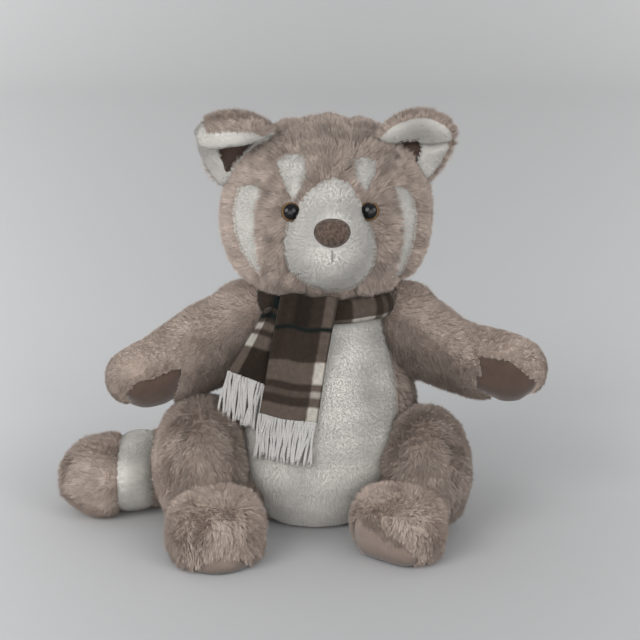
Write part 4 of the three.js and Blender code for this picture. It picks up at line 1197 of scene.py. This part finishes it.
class RACCOON_OT_legs(bpy.types.Operator):
    """Sews the thighs, the feet and their soles."""

    bl_idname = "raccoon.legs"
    bl_label = "Legs"

    def execute(self, context):
        for side, seed, tone in (("left", 700, 0.35), ("right", 800, 0.34)):
            thigh = {side + "_thigh": "taupe_plush"}
            # Painted light: the outer side of the left thigh, beside the tail, is painted paler.
            form = Form(stuffed(hull(*thigh), swell=skin_swell() + THIGH_SWELL), thigh,
                        one_way(0.0, -0.45, -1.0), mottle=0.75,
                        tone=lambda p, n, tone=tone: tone + 0.55 * ramped(p[:, 0], -0.108, -0.128))
            dress(form, side + "_leg", seed, thin=sparse_under(0.003))
            self.sew_foot(side, seed + 50)
        return {"FINISHED"}

    def sew_foot(self, side, seed):
        """One foot: a full egg, cut flat where its sole shows, that rests on the floor."""
        panels = {side + "_foot": "taupe_plush", side + "_sole": "beige_suede"}
        foot, creased = FEET[side], side == "left"
        centre, facing = foot.centre, foot.facing
        wide, long, tall = FOOT_HALF
        bm = bmesh.new()
        bmesh.ops.create_icosphere(bm, subdivisions=5, radius=1)
        for vert in bm.verts:
            x, y, z = vert.co
            level = math.hypot(x, y) or 1.0
            full = level ** (0.75 if z > 0 else foot.fullness) / level
            x, y, z = x * full, y * full, math.copysign(abs(z) ** 0.8, z)
            vert.co = Vector((x * wide, y * long, z * tall)) + centre
            groove = bell(vert.co.x - TOE_CREASE_AT, TOE_CREASE_WIDTH) * creased * (y < 0.3)
            vert.co -= Vector((0, -0.7, 0.7)) * TOE_CREASE_DEPTH * groove
            beyond = (vert.co - centre).dot(facing) - foot.flat
            if beyond > 0:
                vert.co -= facing * beyond * SOLE_PRESS
            vert.co.z = max(vert.co.z, FOOT_CLEAR)
        bm = stuffed(bm, voxel=0.0035, rounds=4)
        aside, ahead, down = FOOT_SPREAD
        for vert in bm.verts:
            low = max(1 - vert.co.z / FOOT_SPREAD_HEIGHT, 0)
            vert.co.x += (vert.co.x - centre.x) * aside * low
            vert.co.y += (vert.co.y - centre.y) * ahead * low
            vert.co.z *= 1 - down * low
        across_sole = Vector((0.5, 0, 1)) - facing * facing.dot(Vector((0.5, 0, 1)))

        def panel_at(places):
            away = places - np.array(centre)
            shown = away @ np.array(across_sole.normalized()) < foot.above
            rim = SOLE_RIM_TALL * (1 - ((places[:, 0] - SOLE_RIM_AT) / SOLE_RIM_HALF) ** 2)
            rim *= (away[:, 1] < -SOLE_RIM_AHEAD) * creased
            below = away @ np.array(facing) > foot.flat - foot.wrap
            return np.where(below & shown | (places[:, 2] < rim), 1, 0)

        # Paler overall, with painted light on the upward-facing top of the foot.
        form = Form(bm, panels, away_from(centre + FOOT_HEEL), panel_at, mottle=0.7,
                    tone=lambda p, n: 0.72 + 0.2 * np.clip(n[:, 2], 0, 1))
        dress(form, side + "_leg", seed, thin=sparse_under(0.003))


class RACCOON_OT_tail(bpy.types.Operator):
    """Sews the banded tail."""

    bl_idname = "raccoon.tail"
    bl_label = "Tail"

    def execute(self, context):
        panels = {"tail_base": "taupe_plush", "tail_band": "white_plush", "tail_tip": "taupe_plush"}
        bm = stuffed(copies(*panels, "tail_stuffing"), swell=skin_swell())
        bow_tail(bm)
        bm.normal_update()
        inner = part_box("tail_base")[0].x + TAIL_BAND_SHIFTS[0]
        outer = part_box("tail_band")[0].x + TAIL_BAND_SHIFTS[1]
        for vert, normal in [(v, v.normal.copy()) for v in bm.verts]:
            within = 1 - abs(2 * vert.co.x - inner - outer) / (inner - outer)
            vert.co += normal * TAIL_BAND_SWELL * held(within * 3)

        # Painted light and shade on the band: paler inward, where the thigh shades it, and darker where it
        # faces the key lamp.
        def tone(places, normals):
            band = (places[:, 0] < inner) & (places[:, 0] > outer)
            inward = (places[:, 0] - outer) / (inner - outer)
            lit = np.clip(normals @ np.array((-0.45, -0.88, 0.10)), 0, 1)
            return 0.60 + band * (0.95 * inward - 0.08 - 0.25 * lit)

        form = Form(bm, panels, one_way(-1.0, -0.5, -0.1),
                    lambda p: np.where(p[:, 0] > inner, 0, np.where(p[:, 0] > outer, 1, 2)), tone=tone)
        dress(form, "tail", 900)
        return {"FINISHED"}


class RACCOON_OT_ears(bpy.types.Operator):
    """Sews the ears, whose tips fold forward."""

    bl_idname = "raccoon.ears"
    bl_label = "Ears"

    def execute(self, context):
        self.sew("left", LEFT_EAR, fold=0.3140, curl=2.4, radius=0.0095, thick=0.0080,
                 hollow=LEFT_LINING, seed=1000)
        self.sew("right", RIGHT_EAR, fold=0.3075, curl=0.6, radius=0.0090, thick=0.0100,
                 hollow=RIGHT_LINING, seed=1100)
        return {"FINISHED"}

    def sew(self, side, outline, fold, curl, radius, thick, hollow, seed):
        """One ear: a padded leaf of this outline, bent over above the fold and hollow in front."""
        sign = SIDES[side]
        turn = Matrix.Rotation(HEAD_TURN, 3, "Z")
        front = turn @ Vector((0, -1, 0))
        outline = np.array(outline) / 1000
        middle = outline.mean(0)
        away = outline - middle
        angles, reaches = np.arctan2(away[:, 1], away[:, 0]), np.hypot(away[:, 0], away[:, 1])
        order = np.argsort(angles)
        angles, reaches = angles[order], reaches[order]
        bm = bmesh.new()
        bmesh.ops.create_icosphere(bm, subdivisions=5, radius=1)
        bm.verts.index_update()
        own = np.zeros((len(bm.verts), 4))
        for vert in bm.verts:
            a, b, c = vert.co
            angle, out = math.atan2(b, a), math.hypot(a, b)
            reach = np.interp(angle, angles, reaches, period=2 * math.pi) * out
            x, z = middle[0] + math.cos(angle) * reach, middle[1] + math.sin(angle) * reach
            own[vert.index] = x, z, c, out
            cup = EAR_CUP * ((x - middle[0]) / EAR_CUP_WIDTH) ** 2 * held((z - EAR_CUP_FROM) / EAR_CUP_RISE)
            leaf = Vector((x, EAR_ROOT[1] - EAR_LEAN * (z - EAR_ROOT[2]), z))
            place = turn @ leaf + front * (c * thick + cup)
            pit = inside(front_view(np.array([place])), hollow)[0] and c > 0
            place -= front * EAR_PIT * pit
            level = place.z - fold + EAR_CREASE_DROP + EAR_CREASE_WAVE * math.sin(EAR_CREASE_TURNS * x)
            crease = bell(level, EAR_CREASE_WIDTH) * (sign > 0) * (c > 0)
            place -= front * EAR_CREASE * crease
            over = place.z - fold
            if over > 0:
                bend = min(over / radius, curl)
                rest = over - bend * radius
                ahead_by = front.dot(place) - EAR_FOLD_AHEAD
                flat = place - front * ahead_by
                forward = radius - (radius - ahead_by) * math.cos(bend) + rest * math.sin(bend)
                up = (radius - ahead_by) * math.sin(bend) + rest * math.cos(bend)
                place = Vector((flat.x, flat.y, fold + up)) + front * forward
            vert.co = place
        if bm.calc_volume(signed=True) < 0:
            bmesh.ops.reverse_faces(bm, faces=bm.faces)
        bmesh.ops.triangulate(bm, faces=bm.faces)
        tree = KDTree(len(own))
        for vert in bm.verts:
            tree.insert(vert.co, vert.index)
        tree.balance()

        def panel_at(places):
            x, z, c, out = own[[tree.find(p)[1] for p in places]].T
            lining = (c > 0) & (z < fold + EAR_LINING_OVER) & inside(front_view(places), hollow)
            if sign < 0:
                white = (c > -0.2) | ((z > LEFT_EAR_TIP) & (x < LEFT_EAR_TIP_SIDE)) | (x < LEFT_EAR_EDGE)
            else:
                white = (c > -0.1) & (out < 0.975)
            return np.where(lining, 2, np.where(white, 1, 0))

        panels = {side + "_ear_back": "taupe_plush", side + "_ear_front": "white_plush",
                  side + "_ear_lining": "brown_suede"}
        root = (sign * EAR_ROOT[0], *EAR_ROOT[1:])
        form = Form(bm, panels, away_from(root), panel_at, seam=0.0008, seam_width=0.003, tone=0.43)
        dress(form, side + "_ear", seed)


class RACCOON_OT_scarf(bpy.types.Operator):
    """Winds the scarf round the neck and lays its two fringed ends on the belly."""

    bl_idname = "raccoon.scarf"
    bl_label = "Scarf"

    def execute(self, context):
        self.belly = forms["torso"].tree()
        self.wind()
        front = self.lay("front", top=(-0.034, 0.0085, 0.197), bottom=(-0.0525, -0.0075, 0.1000),
                         standoff=0.0090, tilt=0.0025, seed=3, edges=(0.0, 0.045), begin=0.0)
        rear = self.lay("rear", top=(-0.046, -0.026, 0.184), bottom=(-0.0775, -0.038, 0.1335),
                        standoff=0.0042, tilt=0.0180, seed=11, edges=(0.045, 0.0), begin=0.120)
        yarns = [self.hang("front", front[1], count=38, drop=0.0325, seed=21),
                 self.hang("rear", rear[1], count=34, drop=0.0350, seed=22)]
        return {"FINISHED"}

    def wind(self):
        """The turn round the neck, gathered in shallow folds."""
        rise = np.linspace(0, 1, 9)
        bulge = NECK_TURN_BULGE * np.sin(math.pi * (0.15 + 0.8 * rise))
        bm = turned(zip(NECK_TURN_RADIUS + bulge, NECK_TURN_FOOT + NECK_TURN_TALL * rise), 120)
        layer = bm.loops.layers.uv.new(CLOTH_MAP)
        for face in bm.faces:
            middle = math.atan2(face.calc_center_median().x, -face.calc_center_median().y)
            for loop in face.loops:
                angle = math.atan2(loop.vert.co.x, -loop.vert.co.y)
                angle += 2 * math.pi * round((middle - angle) / (2 * math.pi))
                along = 0.0355 + angle * 0.045 if angle > 0 else 0.0236 - (angle + 0.62) * 0.02
                loop[layer].uv = ((NECK_TURN_EDGE - loop.vert.co.z) * 1.9, along % PLAID_REPEAT)
        for vert in bm.verts:
            angle = math.atan2(vert.co.x, -vert.co.y)
            gather = 1 + 0.022 * math.sin(7 * angle + 60 * vert.co.z) * math.cos(3 * angle + 1)
            vert.co.x *= gather
            vert.co.y *= NECK_DEPTH_RATIO * gather
        bmesh.ops.solidify(bm, geom=bm.faces, thickness=NECK_FLEECE)
        mesh = mesh_from(bm, "scarf_neck_turn")
        piece = add_piece(mesh.name, mesh, "plaid_fleece", "torso", "scarf_wrap")

    def depth(self, x, z, standoff):
        """How far forward cloth lies at this place, on the belly and over the neck's turn."""
        hit = self.belly.ray_cast(Vector((x, -1, min(z, BELLY_TOP))), Vector((0, 1, 0)))[0]
        skin = hit.y if hit else CLOTH_FRONT
        neck = -NECK_DEPTH_RATIO * math.sqrt(max(NECK_RADIUS ** 2 - x * x, 0)) if z > NECK_FOOT else 0.0
        return min(skin, neck, CLOTH_FRONT) - standoff

    def lay(self, end, top, bottom, standoff, tilt, seed, edges, begin):
        """One hanging end and the points of its hem. Its top and bottom are left, right and height."""
        bm = bmesh.new()
        bmesh.ops.create_grid(bm, x_segments=24, y_segments=44, size=1)
        layer = bm.loops.layers.uv.new(CLOTH_MAP)
        left, right, high = top
        foot_left, foot_right, low = bottom
        own = {}
        for vert in bm.verts:
            s, t = (vert.co.x + 1) / 2, (1 - vert.co.y) / 2
            own[vert] = (s, t)
            x = (left * (1 - t) + foot_left * t) * (1 - s) + (right * (1 - t) + foot_right * t) * s
            z = high * (1 - t) + low * t - tilt * s * t
            near = (-CLOTH_SOFTEN, 0, CLOTH_SOFTEN)
            depth = [self.depth(x + dx, z + dz, standoff) for dx in near for dz in near]
            pleat = PLEAT * (1 - t) ** 1.5 * math.cos(2 * math.pi * (1.7 * s + 0.05))
            sway = CLOTH_SWAY * math.sin(2 * math.pi * (0.9 * s + 0.45 * t) + seed)
            fold = pleat + sway + CLOTH_CURL * abs(2 * s - 1) ** 3
            vert.co = (x, sum(depth) / len(depth) - fold, z)
        for face in bm.faces:
            for loop in face.loops:
                s, t = own[loop.vert]
                loop[layer].uv = (edges[0] * (1 - s) + edges[1] * s, t * (high - low) + begin)
        bmesh.ops.recalc_face_normals(bm, faces=bm.faces)
        hem = sorted((v for v in bm.verts if own[v][1] > 0.999), key=lambda v: own[v][0])
        hem = np.array([v.co for v in hem])
        bmesh.ops.solidify(bm, geom=bm.faces, thickness=FLEECE)
        node = "scarf_" + end + "_end"
        mesh = mesh_from(bm, node)
        return add_piece("scarf_" + end + "_tail", mesh, "plaid_fleece", "scarf_ends", node), hem

    def hang(self, end, hem, count, drop, seed):
        """Yarn tassels along an end's hem."""
        rng = np.random.default_rng(seed)
        bm = bmesh.new()
        for number in range(count):
            share = (number + 0.5) / count
            spread = np.linspace(0, 1, len(hem))
            root = [np.interp(share, spread, column) for column in hem.T]
            sway, wave = rng.normal(0, FRINGE_STRAY), rng.uniform(0, 6.28)
            tall = drop * rng.uniform(0.9, 1.08)
            points = []
            for k in np.linspace(-0.06, 1, 11):
                x = root[0] + sway * k + FRINGE_WAVE * math.sin(5 * k + wave) - FRINGE_LEAN * k
                z = root[2] - tall * k
                y = min(self.depth(x, z, FRINGE_STANDOFF), root[1] + FRINGE_BACK) * max(k, 0)
                y += root[1] * (1 - max(k, 0))
                points.append(Vector((x, y - 0.0004 * math.sin(7 * k + wave), z)))
            spin_yarn(bm, points, YARN_RADIUS)
        map_yarn(bm)
        mesh = mesh_from(bm, "scarf_" + end + "_yarn")
        return add_piece(mesh.name, mesh, "white_yarn", "scarf_ends", "scarf_" + end + "_fringe")


class RACCOON_OT_filling(bpy.types.Operator):
    """Fills the limbs and finishes the washers."""

    bl_idname = "raccoon.filling"
    bl_label = "Filling and fittings"

    def execute(self, context):
        bodies = {"torso": "torso", "head": "head", "tail": "tail", "left_arm": "left_arm_body",
                  "right_arm": "right_arm_body", "left_leg": "left_leg", "right_leg": "right_leg"}
        for part, body in bodies.items():
            bm = stuffed(copies(part + "_stuffing"), voxel=0.006, rounds=4, swell=-FILLING_SHRINK)
            if part == "tail":
                bow_tail(bm)
            fill = add_piece(part + "_filling", mesh_from(bm, part + "_filling"), "fibre_filling", body,
                             part + "_stuffing")
        for name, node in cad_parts.items():
            if name.endswith("washer"):
                node.data.materials.clear()
                node.data.materials.append(material("washer_plastic"))
        return {"FINISHED"}


class RACCOON_OT_stage(bpy.types.Operator):
    """Sets the floor, the light and the camera."""

    bl_idname = "raccoon.stage"
    bl_label = "Stage"

    def execute(self, context):
        stage, scene = context.scene.raccoon_stage, context.scene
        bm = bmesh.new()
        curve = [(-PAPER_HALF, 0.0), (PAPER_BEND_AT, 0.0)]
        for a in np.linspace(0.1, math.pi / 2, 14):
            curve.append((PAPER_BEND_AT + PAPER_BEND * math.sin(a), PAPER_BEND - PAPER_BEND * math.cos(a)))
        curve.append((PAPER_BEND_AT + PAPER_BEND, PAPER_HALF))
        verts = [bm.verts.new((-PAPER_HALF, y, z)) for y, z in curve]
        edges = [bm.edges.new(pair) for pair in zip(verts, verts[1:])]
        sheet = bmesh.ops.extrude_edge_only(bm, edges=edges)["geom"]
        bmesh.ops.translate(bm, verts=verts_of(sheet), vec=(2 * PAPER_HALF, 0, 0))
        bmesh.ops.recalc_face_normals(bm, faces=bm.faces)
        floor = bpy.data.objects.new("floor", mesh_from(bm, "floor"))
        scene.collection.objects.link(floor)
        finish = Finish("paper")
        where = finish.place()
        aside, behind = finish.axis(where, 0), finish.axis(where, 1)
        # Painted light and shade: the paper is painted darker in front, paler just behind the toy where its
        # shadow falls, and palest on the wall.
        near, far = finish.ramp(behind, 0.0, 0.24), finish.ramp(behind, 0.4, 1.7)
        paper = finish.mixed(far, finish.mixed(near, stage.floor, stage.middle), stage.wall)
        ahead = finish.clamp(behind, 0.0, 4.0) + stage.distance
        # Painted light: the paper is painted paler towards both sides, the left a little more.
        slant = finish.clamp(aside / ahead, -0.15, 0.15)
        shade = slant * slant * 9 - slant * 0.45 + finish.noise(where, 60, 3) * 0.02 + 0.97
        floor.data.materials.append(finish.done(Base_Color=finish.scaled(paper, shade), Roughness=0.9))
        for name, (place, size) in LAMPS.items():
            lamp = bpy.data.lights.new(name, "AREA")
            lamp.shape, lamp.size, lamp.energy = "DISK", size, getattr(stage, name)
            holder = bpy.data.objects.new(name, lamp)
            holder.location = place
            holder.rotation_euler = (LAMPS_AIM - Vector(place)).to_track_quat("-Z", "Y").to_euler()
            scene.collection.objects.link(holder)
        world = bpy.data.worlds.new("sky")
        world.use_nodes = True
        world.node_tree.nodes["Background"].inputs[0].default_value = (0.97, 0.985, 1.0, 1)
        world.node_tree.nodes["Background"].inputs[1].default_value = stage.sky
        scene.world = world
        lens = bpy.data.cameras.new("camera")
        lens.lens, lens.sensor_width = stage.lens, 36
        lens.clip_start, lens.clip_end = 0.05, 50
        camera = bpy.data.objects.new("camera", lens)
        aim = Vector(stage.aim)
        back = Vector((0, -math.cos(stage.elevation), math.sin(stage.elevation)))
        camera.location = aim + back * stage.distance
        camera.rotation_euler = (-back).to_track_quat("-Z", "Y").to_euler()
        scene.collection.objects.link(camera)
        scene.camera = camera
        scene.view_settings.view_transform = "Standard"
        return {"FINISHED"}


class RACCOON_PT_panel(bpy.types.Panel):
    """Lists the steps that dress the toy."""

    bl_idname = "RACCOON_PT_panel"
    bl_label = "Plush raccoon"
    bl_space_type = "VIEW_3D"
    bl_region_type = "UI"
    bl_category = "Raccoon"

    def draw(self, context):
        for operator in OPERATORS:
            self.layout.operator(operator.bl_idname)


OPERATORS = (RACCOON_OT_stage, RACCOON_OT_torso, RACCOON_OT_head, RACCOON_OT_face, RACCOON_OT_ears,
             RACCOON_OT_arms, RACCOON_OT_legs, RACCOON_OT_tail, RACCOON_OT_scarf, RACCOON_OT_filling)
SETTINGS = {"raccoon_fur": RaccoonFur, "raccoon_trims": RaccoonTrims, "raccoon_stage": RaccoonStage}


def register():
    for group in SETTINGS.values():
        bpy.utils.register_class(group)
    for name, group in SETTINGS.items():
        setattr(bpy.types.Scene, name, PointerProperty(type=group))
    for operator in OPERATORS:
        bpy.utils.register_class(operator)
    bpy.utils.register_class(RACCOON_PT_panel)


def unregister():
    bpy.utils.unregister_class(RACCOON_PT_panel)
    for operator in OPERATORS:
        bpy.utils.unregister_class(operator)
    for name, group in SETTINGS.items():
        delattr(bpy.types.Scene, name)
        bpy.utils.unregister_class(group)


def main():
    register()
    for operator in OPERATORS:
        getattr(bpy.ops.raccoon, operator.bl_idname.split(".")[1])()


if __name__ == "__main__":
    main()
